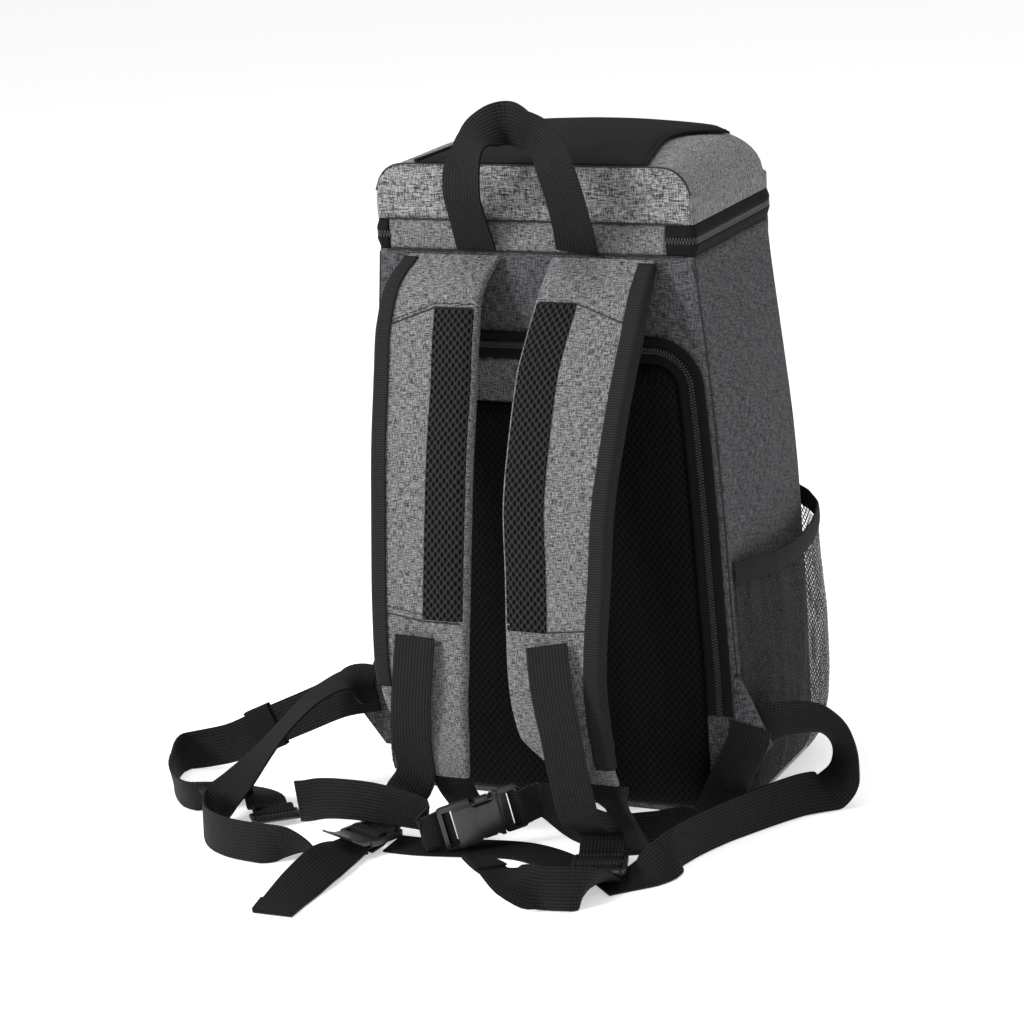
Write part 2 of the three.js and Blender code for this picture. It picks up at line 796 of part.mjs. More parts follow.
const BELT_LEFT = table("across out up turn lift", [
  [-1.040, 1.045, 2.433, 0, 90],
  [-1.257, 1.051, 2.183, 0, 90],
  [-1.500, 1.044, 1.667, 0, 90],
  [-1.729, 1.044, 1.167, 0, 90],
  [-1.929, 1.078, 0.733, 0, 90],
  [-2.176, 1.189, 0.460, 0, 90],
  [-2.086, 1.660, 0.520, 0, 90],
  [-1.924, 2.009, 0.500, -150, 74],
  [-1.804, 2.089, 0.450, -120, 60],
  [-1.722, 1.993, 0.370, -85, 45],
  [-1.685, 1.771, 0.280, -60, 25],
  [-1.636, 1.643, 0.200, -75, 10],
  [-1.530, 1.707, 0.180, -120, 8],
  [-1.420, 1.930, 0.200, -141, 4],
]);

const BELT_FOLD_LEFT = table("across out up turn lift", [
  [-1.200, 2.044, 0.567, 0, 84],
  [-1.114, 2.122, 0.733, 0, 90],
  [-1.000, 2.200, 0.933, 0, 90],
  [-0.829, 2.289, 1.100, 0, 90],
  [-0.657, 2.322, 1.133, 0, 86],
  [-0.500, 2.300, 1.033, -40, 76],
  [-0.371, 2.294, 0.867, -60, 67],
]);

const BELT_TAIL_RIGHT = table("across out up turn lift", [
  [-0.600, 2.240, 0.043, 115, 0],
  [-0.443, 2.236, 0.043, 115, 0],
  [-0.257, 2.183, 0.043, 115, 0],
  [-0.064, 2.116, 0.043, 115, 0],
  [0.093, 2.100, 0.043, 110, 0],
  [0.286, 2.200, 0.043, 112, 0],
  [0.457, 2.394, 0.043, 115, 0],
]);

const TAIL_LEFT = table("across out up turn lift", [
  [-0.720, 3.013, 0.400, 172, 34],
  [-0.740, 3.302, 0.267, 172, 26],
  [-0.754, 3.540, 0.133, 175, 10],
  [-0.753, 3.767, 0.050, 176, 0],
]);

const ADJUSTER_RIGHT = table("across out up turn lift", [
  [1.039, 0.978, 2.333, 0, 90],
  [1.146, 0.867, 2.435, -35, 78],
  [1.216, 0.733, 2.402, -45, 68],
  [1.286, 0.600, 2.269, -45, 60],
  [1.365, 0.489, 1.938, -40, 36],
  [1.411, 0.422, 1.361, -35, 2],
  [1.401, 0.444, 0.749, -35, -32],
  [1.343, 0.556, 0.389, -35, -58],
  [1.237, 0.756, 0.333, -20, -74],
  [1.021, 1.422, 0.500, 0, -86],
  [0.936, 1.778, 0.500, 0, -86],
  [0.893, 2.044, 0.500, 0, -82],
  [0.871, 2.200, 0.333, -10, -48],
  [0.814, 2.322, 0.117, -24, -12],
  [0.721, 2.456, 0.043, -33, 0],
  [0.636, 2.600, 0.043, -33, 0],
]);

const BELT_RIGHT = table("across out up turn lift", [
  [1.060, 1.045, 2.450, 0, -14],
  [1.043, 1.056, 2.067, 0, -14],
  [0.996, 1.139, 1.533, -10, -2],
  [0.919, 1.178, 0.800, -5, 5],
  [0.854, 1.344, 0.417, 0, 20],
  [0.786, 1.611, 0.400, 40, 55],
  [0.696, 1.831, 0.517, 60, 80],
  [0.525, 1.942, 0.520, 60, 86],
  [0.336, 1.883, 0.667, 60, 86],
]);

const TAIL_RIGHT = table("across out up turn lift", [
  [0.657, 2.963, 0.467, 50, 60],
  [0.571, 3.058, 0.533, 80, 80],
  [0.451, 3.094, 0.533, 115, 86],
  [0.353, 3.179, 0.700, 115, 32],
  [0.250, 3.155, 0.900, 115, 2],
  [0.139, 3.076, 1.033, 115, -6],
]);

const TIP_WEB_RIGHT = table("across out up turn lift", [
  [0.586, 2.169, 1.993, -3, 0],
  [0.589, 2.164, 1.733, -10, 0],
  [0.618, 2.139, 1.400, -28, 0],
  [0.664, 2.100, 0.900, -28, 0],
  [0.721, 2.033, 0.367, -20, 0],
]);

const TIP_WEB_LEFT = table("across out up turn lift", [
  [-0.261, 2.153, 1.800, 0, 0],
  [-0.261, 2.117, 1.533, 0, 0],
  [-0.257, 2.044, 1.200, 0, 0],
  [-0.250, 1.933, 0.800, 0, 0],
]);

// Stations of a web on a smooth curve through its rows
function rowStation(row) {
  return {
    p: new THREE.Vector3(row.across * halfWidth, -row.out * halfDepth, row.up * webWidth),
    across: direction(row.turn, row.lift),
  };
}

function direction(turn, lift) {
  const t = THREE.MathUtils.degToRad(turn);
  const l = THREE.MathUtils.degToRad(lift);
  return new THREE.Vector3(Math.cos(l) * Math.cos(t), Math.cos(l) * Math.sin(t), Math.sin(l));
}

function smoothStations(stations, perSpan) {
  const curve = new THREE.CatmullRomCurve3(stations.map((s) => s.p), false, "centripetal");
  const spans = stations.length - 1;
  const out = [];
  for (let i = 0; i <= spans * perSpan; i += 1) {
    const at = i / perSpan;
    const k = Math.min(Math.floor(at), spans - 1);
    const across = new THREE.Vector3().lerpVectors(stations[k].across, stations[k + 1].across, at - k);
    out.push({ p: curve.getPoint(at / spans), across: across.normalize(), at });
  }
  return out;
}

const PER_SPAN = 2;

function buildWeb(stations, width = webWidth, thickness = webThickness) {
  for (let i = 1; i < stations.length; i += 1) {
    if (stations[i].across.dot(stations[i - 1].across) < 0) stations[i].across.negate();
  }
  return ribbon(smoothStations(stations, PER_SPAN), width, thickness);
}

// Shoulder straps: rows from the top seam down. Drop is a share of the body height,
// middle and width are shares of half the base width and the strap width, out is a share of the standoff.
const STRAP_LEFT = table("drop middle width out thick", [
  [0.992, -0.428, 0.95, 0.012, 0.3],
  [0.943, -0.478, 0.98, 0.18, 0.8],
  [0.874, -0.478, 1.02, 0.325, 1.0],
  [0.795, -0.45, 1.02, 0.48, 1.0],
  [0.689, -0.428, 1.0, 0.65, 1.0],
  [0.575, -0.414, 0.98, 0.77, 1.0],
  [0.44, -0.407, 0.96, 0.875, 1.0],
  [0.321, -0.403, 0.92, 0.94, 1.0],
  [0.26, -0.39, 0.84, 0.965, 1.0],
  [0.21, -0.348, 0.7, 0.985, 0.95],
  [0.165, -0.285, 0.46, 1.0, 0.7],
  [0.135, -0.262, 0.36, 0.995, 0.45],
]);
const STRAP_RIGHT = table("drop middle width out thick", [
  [0.992, 0.388, 1.03, 0.012, 0.3],
  [0.938, 0.375, 1.06, 0.19, 0.8],
  [0.876, 0.357, 1.1, 0.32, 1.0],
  [0.817, 0.339, 1.12, 0.44, 1.0],
  [0.723, 0.325, 1.09, 0.6, 1.0],
  [0.607, 0.307, 1.05, 0.74, 1.0],
  [0.494, 0.314, 1.0, 0.83, 1.0],
  [0.385, 0.314, 0.95, 0.905, 1.0],
  [0.316, 0.318, 0.93, 0.94, 1.0],
  [0.267, 0.336, 0.92, 0.965, 1.0],
  [0.217, 0.371, 0.88, 0.985, 0.95],
  [0.178, 0.45, 0.66, 1.0, 0.7],
  [0.15, 0.535, 0.44, 1.0, 0.45],
]);

function strapStations(rows) {
  return rows.map((row) => ({
    p: new THREE.Vector3(
      row.middle * halfWidth,
      backFace - 3 * fit - row.out * strapStandoff,
      row.drop * bodyHeight,
    ),
    across: new THREE.Vector3(1, 0, 0),
    width: row.width * strapWidth,
    thickness: Math.max(row.thick * strapThickness, strapEndThickness),
  }));
}

// Stations between the rows, with the widths carried along
function strapRun(rows, perSpan) {
  const stations = strapStations(rows);
  return smoothStations(stations, perSpan).map((s) => {
    const k = Math.min(Math.floor(s.at), stations.length - 2);
    const t = s.at - k;
    const width = THREE.MathUtils.lerp(stations[k].width, stations[k + 1].width, t);
    const thickness = THREE.MathUtils.lerp(stations[k].thickness, stations[k + 1].thickness, t);
    return { ...s, width, thickness, level: true };
  });
}

// Pad section: flat outer face, rounded edges; the outer edge is left free for its binding
function padSection(side, width, thickness) {
  const w = width / 2;
  const t = thickness / 2;
  const e = Math.min(t, 5);
  const bound = w - strapBindingThickness - fit;
  const outer = bound - e * 0.5;
  const profile = [
    [-w + e, -t],
    [outer, -t],
    [bound, -t + e * 0.6],
    [bound, t - e * 0.6],
    [outer, t],
    [-w + e, t],
    [-w + e * 0.3, t * 0.7],
    [-w, 0],
    [-w + e * 0.3, -t * 0.7],
  ];
  return side > 0 ? profile : profile.map(([x, y]) => [-x, y]).reverse();
}

function buildStrap(side, rows) {
  return sweep(strapRun(rows, 2), (s) => padSection(side, s.width, s.thickness));
}

// Binding folded over the outer edge of a strap
function buildStrapBinding(side, rows, end) {
  const run = strapRun(rows, 2).filter((s) => s.at >= 0.5 && s.at <= end);
  return sweep(run, (s) => {
    const w = s.width / 2;
    const t = s.thickness / 2 + fit;
    const far = t + strapBindingThickness;
    const from = w - strapBindingWidth;
    const inside = w - strapBindingThickness;
    const profile = [
      [from, -far],
      [w - 1, -far],
      [w, -far + 1],
      [w, far - 1],
      [w - 1, far],
      [from, far],
      [from, t],
      [inside - 0.1, t],
      [inside, t - 0.3],
      [inside, -t + 0.3],
      [inside - 0.1, -t],
      [from, -t],
    ];
    return side > 0 ? profile : profile.map(([x, y]) => [-x, y]).reverse();
  });
}

// Mesh stripe on the outer face, along the inner edge, between its two seams
const STRIPE = { from: { left: 1.5, right: 1.25 }, to: { left: 6.3, right: 6.85 } };

function buildStripe(side, rows, word) {
  const run = strapRun(rows, 4).filter((s) => s.at >= STRIPE.from[word] && s.at <= STRIPE.to[word]);
  return sweep(run, (s) => {
    const w = s.width / 2;
    const near = s.thickness / 2 + fit;
    const far = near + strapMeshThickness;
    const e = Math.min(s.thickness / 2, 5);
    const inner = -w + e + 0.6;
    const profile = [
      [inner, near],
      [inner + strapMeshWidth, near],
      [inner + strapMeshWidth, far],
      [inner, far],
    ];
    return side > 0 ? profile : profile.map(([x, y]) => [-x, y]).reverse();
  });
}

for (const [side, word, rows] of [[-1, "left", STRAP_LEFT], [1, "right", STRAP_RIGHT]]) {
  add(`shoulder_strap_${word}`, buildStrap(side, rows), heatherLight);
  add(`strap_binding_${word}`, buildStrapBinding(side, rows, word === "left" ? 7.5 : 11), ribbedBinding);
  add(`strap_mesh_${word}`, buildStripe(side, rows, word), blackMesh);
}

add("grab_handle", buildWeb(HANDLE_ROUTE.map(rowStation)), webBlack);

// Ladder locks: length along the web, the tongue at the front. Each lies on the floor where the straps end.
const LOCKS = {
  left: { across: -0.69, out: 2.31, up: 0.35, turn: -22 },
  right: { across: 0.586, out: 2.41, up: 0.35, turn: 18 },
};

function lockMatrix(word) {
  const lock = LOCKS[word];
  const angle = THREE.MathUtils.degToRad(lock.turn);
  const place = new THREE.Vector3(lock.across * halfWidth, -lock.out * halfDepth, lock.up * webWidth);
  return new THREE.Matrix4().makeRotationZ(angle).setPosition(place);
}

// Prism of a flat outline, between two places along the axis that the outline leaves out
function prism(outline, low, high, place) {
  return loft([low, high].map((at) => outline.map(([a, b]) => place(a, b, at))));
}

const upright = (a, b, at) => new THREE.Vector3(a, b, at);
const sideways = (a, b, at) => new THREE.Vector3(at, a, b);

// Rounded rectangle, counterclockwise, with its four corners cut to short arcs
function roundedRectangle(width, length, radius) {
  const out = [];
  const centres = [[1, 1], [-1, 1], [-1, -1], [1, -1]];
  centres.forEach(([sx, sy], corner) => {
    for (let i = 0; i <= 3; i += 1) {
      const angle = (Math.PI / 2) * (corner + i / 3);
      const x = sx * (width / 2 - radius) + radius * Math.cos(angle);
      const y = sy * (length / 2 - radius) + radius * Math.sin(angle);
      out.push([x, y]);
    }
  });
  return out;
}

function buildLock() {
  const l = lockLength / 2;
  const lip = lockThickness / 2;
  const plate = prism(roundedRectangle(lockWidth, lockLength, 4), -lip, lip, upright);
  const slotWidth = webWidth + 2;
  const slot = lockSlot + 1;
  const front = boxAt(slotWidth, slot, 3 * lockThickness, 0, -l + lockBar + slot / 2, 0);
  const rearLength = lockLength - 3 * lockBar - slot;
  const rear = boxAt(slotWidth, rearLength, 3 * lockThickness, 0, l - lockBar - rearLength / 2, 0);
  const blade = [
    [-l + 2, -lip + 1],
    [-l + 2, lip],
    [-l - tongueLength * 0.3, lip + 1],
    [-l - tongueLength * 0.7, lip + 3.4],
    [-l - tongueLength, lip + 6.5],
    [-l - tongueLength, lip + 4.7],
    [-l - tongueLength * 0.7, lip + 1.6],
    [-l - tongueLength * 0.3, -lip + 1.6],
  ];
  const tongueHalf = lockWidth / 2 - 3;
  const tongue = prism(blade, -tongueHalf, tongueHalf, sideways);
  return fromManifold(asManifold(plate).add(asManifold(tongue)).subtract(asManifold(front)).subtract(asManifold(rear)));
}

// Stations of a web at a lock, from rows of local places: along the lock and above its middle
function lockStations(word, rows) {
  const matrix = lockMatrix(word);
  const across = new THREE.Vector3(1, 0, 0).transformDirection(matrix);
  return rows.map(([along, above]) => ({
    p: new THREE.Vector3(0, along, above).applyMatrix4(matrix),
    across: across.clone(),
  }));
}

const lockHalf = lockThickness / 2;
const webLift = webThickness / 2 + fit;
const middleBar = -lockLength / 2 + lockBar + lockSlot + 1 + lockBar / 2;
const rearBar = lockLength / 2 - lockBar / 2;
const WEB_OVER_REAR = [
  [rearBar + 9, lockHalf + webLift + 9],
  [rearBar + 3.5, lockHalf + webLift + 1.8],
  [rearBar, lockHalf + webLift + 0.2],
  [rearBar - 2.4, lockHalf + webLift + 0.3],
  [rearBar - 3.5, lockHalf + 0.6],
  [rearBar - 3.7, 0],
  [rearBar - 3.8, -lockHalf],
];
const TAIL_THROUGH_LOCK = [
  [-lockLength / 2 + 2, -lockHalf - webThickness - webLift - 2.2],
  [middleBar - 4, -lockHalf - webThickness - webLift - 0.8],
  [middleBar + 0.5, -lockHalf - webLift - 1.4],
  [middleBar + 2.9, -lockHalf - webLift + 0.2],
  [middleBar + 3.4, -lockHalf + 0.5],
  [middleBar + 3.7, lockHalf * 0.6],
  [middleBar + 3, lockHalf + 0.7],
  [middleBar + 1.6, lockHalf + webLift + 0.2],
  [middleBar + 0.2, lockHalf + webLift + 0.3],
  [middleBar - 1.6, lockHalf + webLift + 0.2],
  [middleBar - 3, lockHalf + 0.7],
  [middleBar - 3.7, lockHalf * 0.6],
  [middleBar - 3.9, -lockHalf * 0.2],
  [middleBar - 5, -lockHalf - 0.2],
  [-lockLength / 2 + 5.2, -lockHalf - webLift + 0.1],
  [-lockLength / 2 + 2, -lockHalf - webLift - 0.1],
  [-lockLength / 2 - 4, -lockHalf - webLift - 0.3],
];

for (const word of ["left", "right"]) {
  const lock = add(`ladder_lock_${word}`, buildLock(), buckleBlack);
  lock.applyMatrix4(lockMatrix(word));
}

const STRAP_WEBS = { left: STRAP_WEB_LEFT, right: STRAP_WEB_RIGHT };
const ADJUSTERS = { left: ADJUSTER_LEFT, right: ADJUSTER_RIGHT };
const TAILS = { left: TAIL_LEFT, right: TAIL_RIGHT };
const TIPS = { left: TIP_WEB_LEFT, right: TIP_WEB_RIGHT };

for (const word of ["left", "right"]) {
  const strapWeb = [...STRAP_WEBS[word].map(rowStation), ...lockStations(word, WEB_OVER_REAR)];
  add(`strap_web_${word}`, buildWeb(strapWeb), webBlack);
  add(`adjuster_web_${word}`, buildWeb(ADJUSTERS[word].map(rowStation)), webBlack);
  const tail = [...lockStations(word, TAIL_THROUGH_LOCK), ...TAILS[word].map(rowStation)];
  add(`adjuster_tail_${word}`, buildWeb(tail), webBlack);
  add(`strap_tip_web_${word}`, buildWeb(TIPS[word].map(rowStation)), webBlack);
}

// Places a fitting: its length lies along the first direction, its width along the second
function placed(centre, along, across) {
  const x = along.clone().normalize();
  const y = across.clone().addScaledVector(x, -x.dot(across)).normalize();
  const z = new THREE.Vector3().crossVectors(x, y);
  return new THREE.Matrix4().makeBasis(x, y, z).setPosition(centre);
}

// Stations inside a fitting, from rows of places along it and above its middle plane
function fittingStations(matrix, rows) {
  const across = new THREE.Vector3(0, 1, 0).transformDirection(matrix);
  return rows.map(([along, above]) => ({
    p: new THREE.Vector3(along, 0, above).applyMatrix4(matrix),
    across: across.clone(),
  }));
}

// Tri-glide slider: a flat plate with two slots that the belt end is threaded through
const sliderPlace = placed(
  new THREE.Vector3(-1.335 * halfWidth, -2.055 * halfDepth, 0.16 * webWidth),
  direction(-51, 0),
  direction(39, 0),
);

function buildBeltSlider() {
  const outline = roundedRectangle(sliderBarLength, sliderBarWidth, 2);
  const plate = prism(outline, -sliderBarThickness / 2, sliderBarThickness / 2, upright);
  const slotLength = (sliderBarLength - 3 * sliderBar) / 2;
  let solid = asManifold(plate);
  for (const side of [-1, 1]) {
    const x = side * (sliderBar + slotLength) * 0.5;
    solid = solid.subtract(asManifold(boxAt(slotLength, webWidth + 2, 4 * sliderBarThickness, x, 0, 0)));
  }
  return fromManifold(solid);
}

add("belt_slider", buildBeltSlider(), buckleBlack).applyMatrix4(sliderPlace);

const sliderTop = sliderBarThickness / 2 + webLift;
const BELT_THROUGH_SLIDER = [
  [-sliderBarLength / 2 - 3, sliderTop + 0.4],
  [-7.4, sliderTop + 0.2],
  [-5.2, sliderTop - 0.4],
  [-4, 0.6],
  [-3.4, -1],
  [-2.2, -sliderTop + 0.2],
  [0, -sliderTop - 0.2],
  [2.2, -sliderTop + 0.2],
  [3.4, -1],
  [4, 0.6],
  [5.2, sliderTop - 0.4],
  [7.4, sliderTop + 0.2],
  [sliderBarLength / 2 + 4, sliderTop + 0.4],
];
const beltLeft = [...BELT_LEFT.map(rowStation), ...fittingStations(sliderPlace, BELT_THROUGH_SLIDER)];
add("belt_web_left", buildWeb(beltLeft), webBlack);

// Elastic keeper round the belt
function buildKeeper() {
  const stations = smoothStations(BELT_LEFT.slice(2, 5).map(rowStation), 4);
  const from = stations[2];
  const to = stations[6];
  const centre = from.p.clone().add(to.p).multiplyScalar(0.5);
  const matrix = placed(centre, new THREE.Vector3().subVectors(to.p, from.p), stations[4].across);
  const gap = 6 * fit;
  const inner = boxAt(2 * keeperLength, webWidth + gap, webThickness + gap, 0, 0, 0);
  const wide = webWidth + gap + 2 * keeperThickness;
  const outer = boxAt(keeperLength, wide, webThickness + gap + 2 * keeperThickness, 0, 0, 0);
  return fromManifold(asManifold(outer).subtract(asManifold(inner))).applyMatrix4(matrix);
}

add("belt_keeper", buildKeeper(), blackFabric);

// Side-release buckle, fastened: the female half at the left end, the male half plugged into it
const buckleLeft = new THREE.Vector3(-0.264 * halfWidth, -2.352 * halfDepth, 0.68 * webWidth);
const buckleRight = new THREE.Vector3(0.058 * halfWidth, -2.008 * halfDepth, 1.1 * webWidth);
const bucklePlace = placed(
  buckleLeft.clone().add(buckleRight).multiplyScalar(0.5),
  new THREE.Vector3().subVectors(buckleRight, buckleLeft),
  direction(-95, 68),
);
const buckleEnd = buckleLength / 2;
const barThickness = 4;
const barLength = 3;
const slotLength = 7;
const femaleTo = buckleEnd - buckleMaleLength;
const sleeveFrom = -buckleEnd + barLength + slotLength;
const cavityWidth = buckleWidth - 2 * buckleWall - 2;
const cavityHeight = buckleThickness - 2 * buckleWall;

const archLength = (femaleTo - sleeveFrom) * 0.52;
const archMiddle = femaleTo - archLength * 0.62;

// Web bar and slot at one end of a buckle half: the outline's end is cut through by the slot
function webBar(from, to, slotFrom) {
  const frame = prism(
    roundedRectangle(to - from, buckleWidth, 3),
    -barThickness / 2,
    barThickness / 2,
    upright,
  ).translate((from + to) / 2, 0, 0);
  const slot = boxAt(slotLength, webWidth + 2, 4 * barThickness, slotFrom + slotLength / 2, 0, 0);
  return asManifold(frame).subtract(asManifold(slot));
}

function buildBuckleFemale() {
  const length = femaleTo - sleeveFrom;
  const middle = (femaleTo + sleeveFrom) / 2;
  const h = buckleThickness / 2;
  const w = buckleWidth / 2;
  const section = [
    [-w, -h + 3.5],
    [-w + 2.5, -h],
    [w - 2.5, -h],
    [w, -h + 3.5],
    [w, h - 3.5],
    [w - 2.5, h],
    [-w + 2.5, h],
    [-w, h - 3.5],
  ];
  const along = (a, b, at) => new THREE.Vector3(at, a, b);
  const body = asManifold(prism(section, sleeveFrom, femaleTo, along));
  const cavity = boxAt(length, cavityWidth, cavityHeight, middle + buckleWall, 0, 0);
  let solid = body.subtract(asManifold(cavity));
  // arched openings in both sides, where the catches are pressed
  const arch = roundedRectangle(archLength, 14, 5);
  for (const side of [-1, 1]) {
    const opening = prism(arch, -buckleThickness, buckleThickness, upright);
    opening.translate(archMiddle, side * (w + 1.6), 0);
    solid = solid.subtract(asManifold(opening));
  }
  return fromManifold(solid.add(webBar(-buckleEnd, sleeveFrom + 4, -buckleEnd + barLength)));
}

function buildBuckleMale() {
  const from = femaleTo + fit;
  const lip = 3.6;
  let solid = webBar(from, buckleEnd, buckleEnd - barLength - slotLength);
  const thick = cavityHeight - 2.6;
  const plate = boxAt(lip, cavityWidth, thick, from + lip / 2, 0, 0);
  solid = solid.add(asManifold(plate));
  const reach = femaleTo - sleeveFrom - buckleWall - 5;
  for (const side of [-1, 0, 1]) {
    const y = side * (cavityWidth / 2 - 4.5);
    const prong = boxAt(reach, side === 0 ? 4 : 5.6, thick, from - reach / 2 + 1, y, 0);
    solid = solid.add(asManifold(prong));
  }
  for (const side of [-1, 1]) {
    const lobe = boxAt(archLength - 8, 3.4, thick, archMiddle, side * (cavityWidth / 2 - 0.6), 0);
    solid = solid.add(asManifold(lobe));
  }
  return fromManifold(solid);
}

add("buckle_female", buildBuckleFemale(), buckleBlack).applyMatrix4(bucklePlace);
add("buckle_male", buildBuckleMale(), buckleBlack).applyMatrix4(bucklePlace);

// Webs turn round the end bars of the buckle: behind the left bar, in front of the right one
const barTop = barThickness / 2 + webLift;
const ROUND_BAR = [
  [buckleEnd + 14, barTop],
  [buckleEnd + 5, barTop - 0.6],
  [buckleEnd + 0.4, barTop + 0.4],
  [buckleEnd - barLength + 0.6, barTop + 0.3],
  [buckleEnd - barLength - 1.2, barTop - 0.9],
  [buckleEnd - barLength - 1.8, 0],
  [buckleEnd - barLength - 1.9, -barThickness / 2],
];
const UNDER_LEFT_BAR = ROUND_BAR.map(([along, above]) => [-along, -above]);
const fold = [
  { p: new THREE.Vector3(-1.205 * halfWidth, -2.02 * halfDepth, 0.56 * webWidth), across: direction(0, 88) },
  ...BELT_FOLD_LEFT.slice(1).map(rowStation),
  ...fittingStations(bucklePlace, UNDER_LEFT_BAR),
];
add("belt_fold_left", buildWeb(fold), webBlack);
const beltRight = [...BELT_RIGHT.map(rowStation), ...fittingStations(bucklePlace, ROUND_BAR)];
add("belt_web_right", buildWeb(beltRight), webBlack);
add("belt_tail_right", buildWeb(BELT_TAIL_RIGHT.map(rowStation)), webBlack);

export default backpack;
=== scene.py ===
"""Cooler backpack: fabric pieces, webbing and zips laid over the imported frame."""
import math

import bmesh
import bpy
from bpy.props import FloatProperty, FloatVectorProperty, PointerProperty
from mathutils import Matrix, Vector, noise


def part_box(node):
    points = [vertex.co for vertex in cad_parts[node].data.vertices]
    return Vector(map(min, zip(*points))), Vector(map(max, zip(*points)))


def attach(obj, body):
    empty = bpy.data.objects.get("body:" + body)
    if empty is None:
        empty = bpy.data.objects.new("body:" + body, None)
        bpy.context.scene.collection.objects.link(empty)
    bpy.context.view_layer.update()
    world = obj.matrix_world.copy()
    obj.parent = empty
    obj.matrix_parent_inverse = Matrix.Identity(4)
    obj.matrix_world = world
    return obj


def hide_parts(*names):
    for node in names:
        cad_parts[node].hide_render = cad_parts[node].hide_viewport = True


bl_info = {
    "name": "Cooler backpack",
    "version": (1, 0, 0),
    "blender": (4, 5, 0),
    "location": "3D View > Sidebar > Backpack",
    "description": "Builds the fabric, webbing and zips of a cooler backpack",
    "category": "Object",
}

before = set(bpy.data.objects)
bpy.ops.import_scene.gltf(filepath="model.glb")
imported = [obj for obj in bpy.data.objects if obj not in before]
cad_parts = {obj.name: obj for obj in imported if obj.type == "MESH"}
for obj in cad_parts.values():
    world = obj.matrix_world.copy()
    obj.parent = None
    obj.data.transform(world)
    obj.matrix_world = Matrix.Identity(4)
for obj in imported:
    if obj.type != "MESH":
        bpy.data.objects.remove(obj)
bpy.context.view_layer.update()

# Lengths are in metres
RIM_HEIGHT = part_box("body_shell")[1].z
HALF_WIDTH = 0.140
HALF_DEPTH = 0.090
BACK_FACE = -HALF_DEPTH
ZIP_HEIGHT = 0.022
LID_RIM = RIM_HEIGHT + ZIP_HEIGHT
BODY_WALL = 0.007
LID_WALL = 0.006
BACK_CORNER = 0.004
FRONT_CORNER = 0.036
WALL_BULGE = 0.004
FIT = 0.0004
WELD = 2e-6


# Tables with named columns
def table(columns, rows):
    """Rows as dictionaries, with the columns' names as keys."""
    names = columns.split()
    return [dict(zip(names, row)) for row in rows]


def read_table(rows, key, value):
    """The table's row at a value of its key column, linear between rows."""
    place = 0
    while place < len(rows) - 2 and rows[place + 1][key] < value:
        place += 1
    low, high = rows[place], rows[place + 1]
    share = clamp((value - low[key]) / (high[key] - low[key]))
    return {name: low[name] + (high[name] - low[name]) * share for name in low}


def clamp(value, low=0.0, high=1.0):
    return max(low, min(high, value))


def mix(low, high, share):
    return low + (high - low) * share


def smooth(value):
    """0 up to 0 and 1 from 1 on, with level ends."""
    value = clamp(value)
    return value * value * (3 - 2 * value)


# Body sections: height as a share of the rim height, the rest as shares of half the width or depth
BODY_SECTIONS = table("height width front", [
    (0.0, 0.915, 0.88), (0.012, 0.965, 0.94), (0.035, 0.99, 0.98), (0.1, 0.998, 1.0),
    (0.27, 0.99, 1.01), (0.4, 0.974, 1.01), (0.55, 0.957, 1.0), (0.7, 0.933, 0.98),
    (0.82, 0.905, 0.96), (0.93, 0.873, 0.945), (1.0, 0.855, 0.94),
])
BODY_BACK = table("height back", [(0.0, 0.955), (0.012, 0.985), (0.035, 1.0), (1.0, 1.0)])
CORNER_STEPS = 8
SIDE_STEPS = 24


def body_half_width(z):
    return read_table(BODY_SECTIONS, "height", z / RIM_HEIGHT)["width"] * HALF_WIDTH


def bag_outline(z, inset=0.0, corner_steps=CORNER_STEPS, side_steps=SIDE_STEPS):
    """Outline of the bag at a height, counterclockwise from the right end of the back edge."""
    section = read_table(BODY_SECTIONS, "height", z / RIM_HEIGHT)
    back = read_table(BODY_BACK, "height", z / RIM_HEIGHT)["back"] * HALF_DEPTH - inset
    half = section["width"] * HALF_WIDTH - inset
    front = section["front"] * HALF_DEPTH - inset
    swell = WALL_BULGE * math.sin(math.pi * clamp(z / RIM_HEIGHT))
    small = max(BACK_CORNER - inset, 0.0015)
    large = max(FRONT_CORNER - inset, 0.004)
    corners = [
        (half - small, -back + small, small, -90),
        (half - large, front - large, large, 0),
        (-half + large, front - large, large, 90),
        (-half + small, -back + small, small, 180),
    ]
    points = []
    for number, (x, y, radius, start) in enumerate(corners):
        for step in range(corner_steps + 1):
            angle = math.radians(start + 90 * step / corner_steps)
            points.append(Vector((x + radius * math.cos(angle), y + radius * math.sin(angle))))
        ahead = corners[(number + 1) % 4]
        end = math.radians(start + 90)
        out = Vector((math.cos(end), math.sin(end)))
        first = Vector((x, y)) + out * radius
        last = Vector(ahead[:2]) + out * ahead[2]
        for step in range(1, side_steps):
            share = step / side_steps
            on_back = number == 3
            bulge = 0 if on_back else swell * 4 * share * (1 - share)
            points.append(first.lerp(last, share) + out * bulge)
    return points


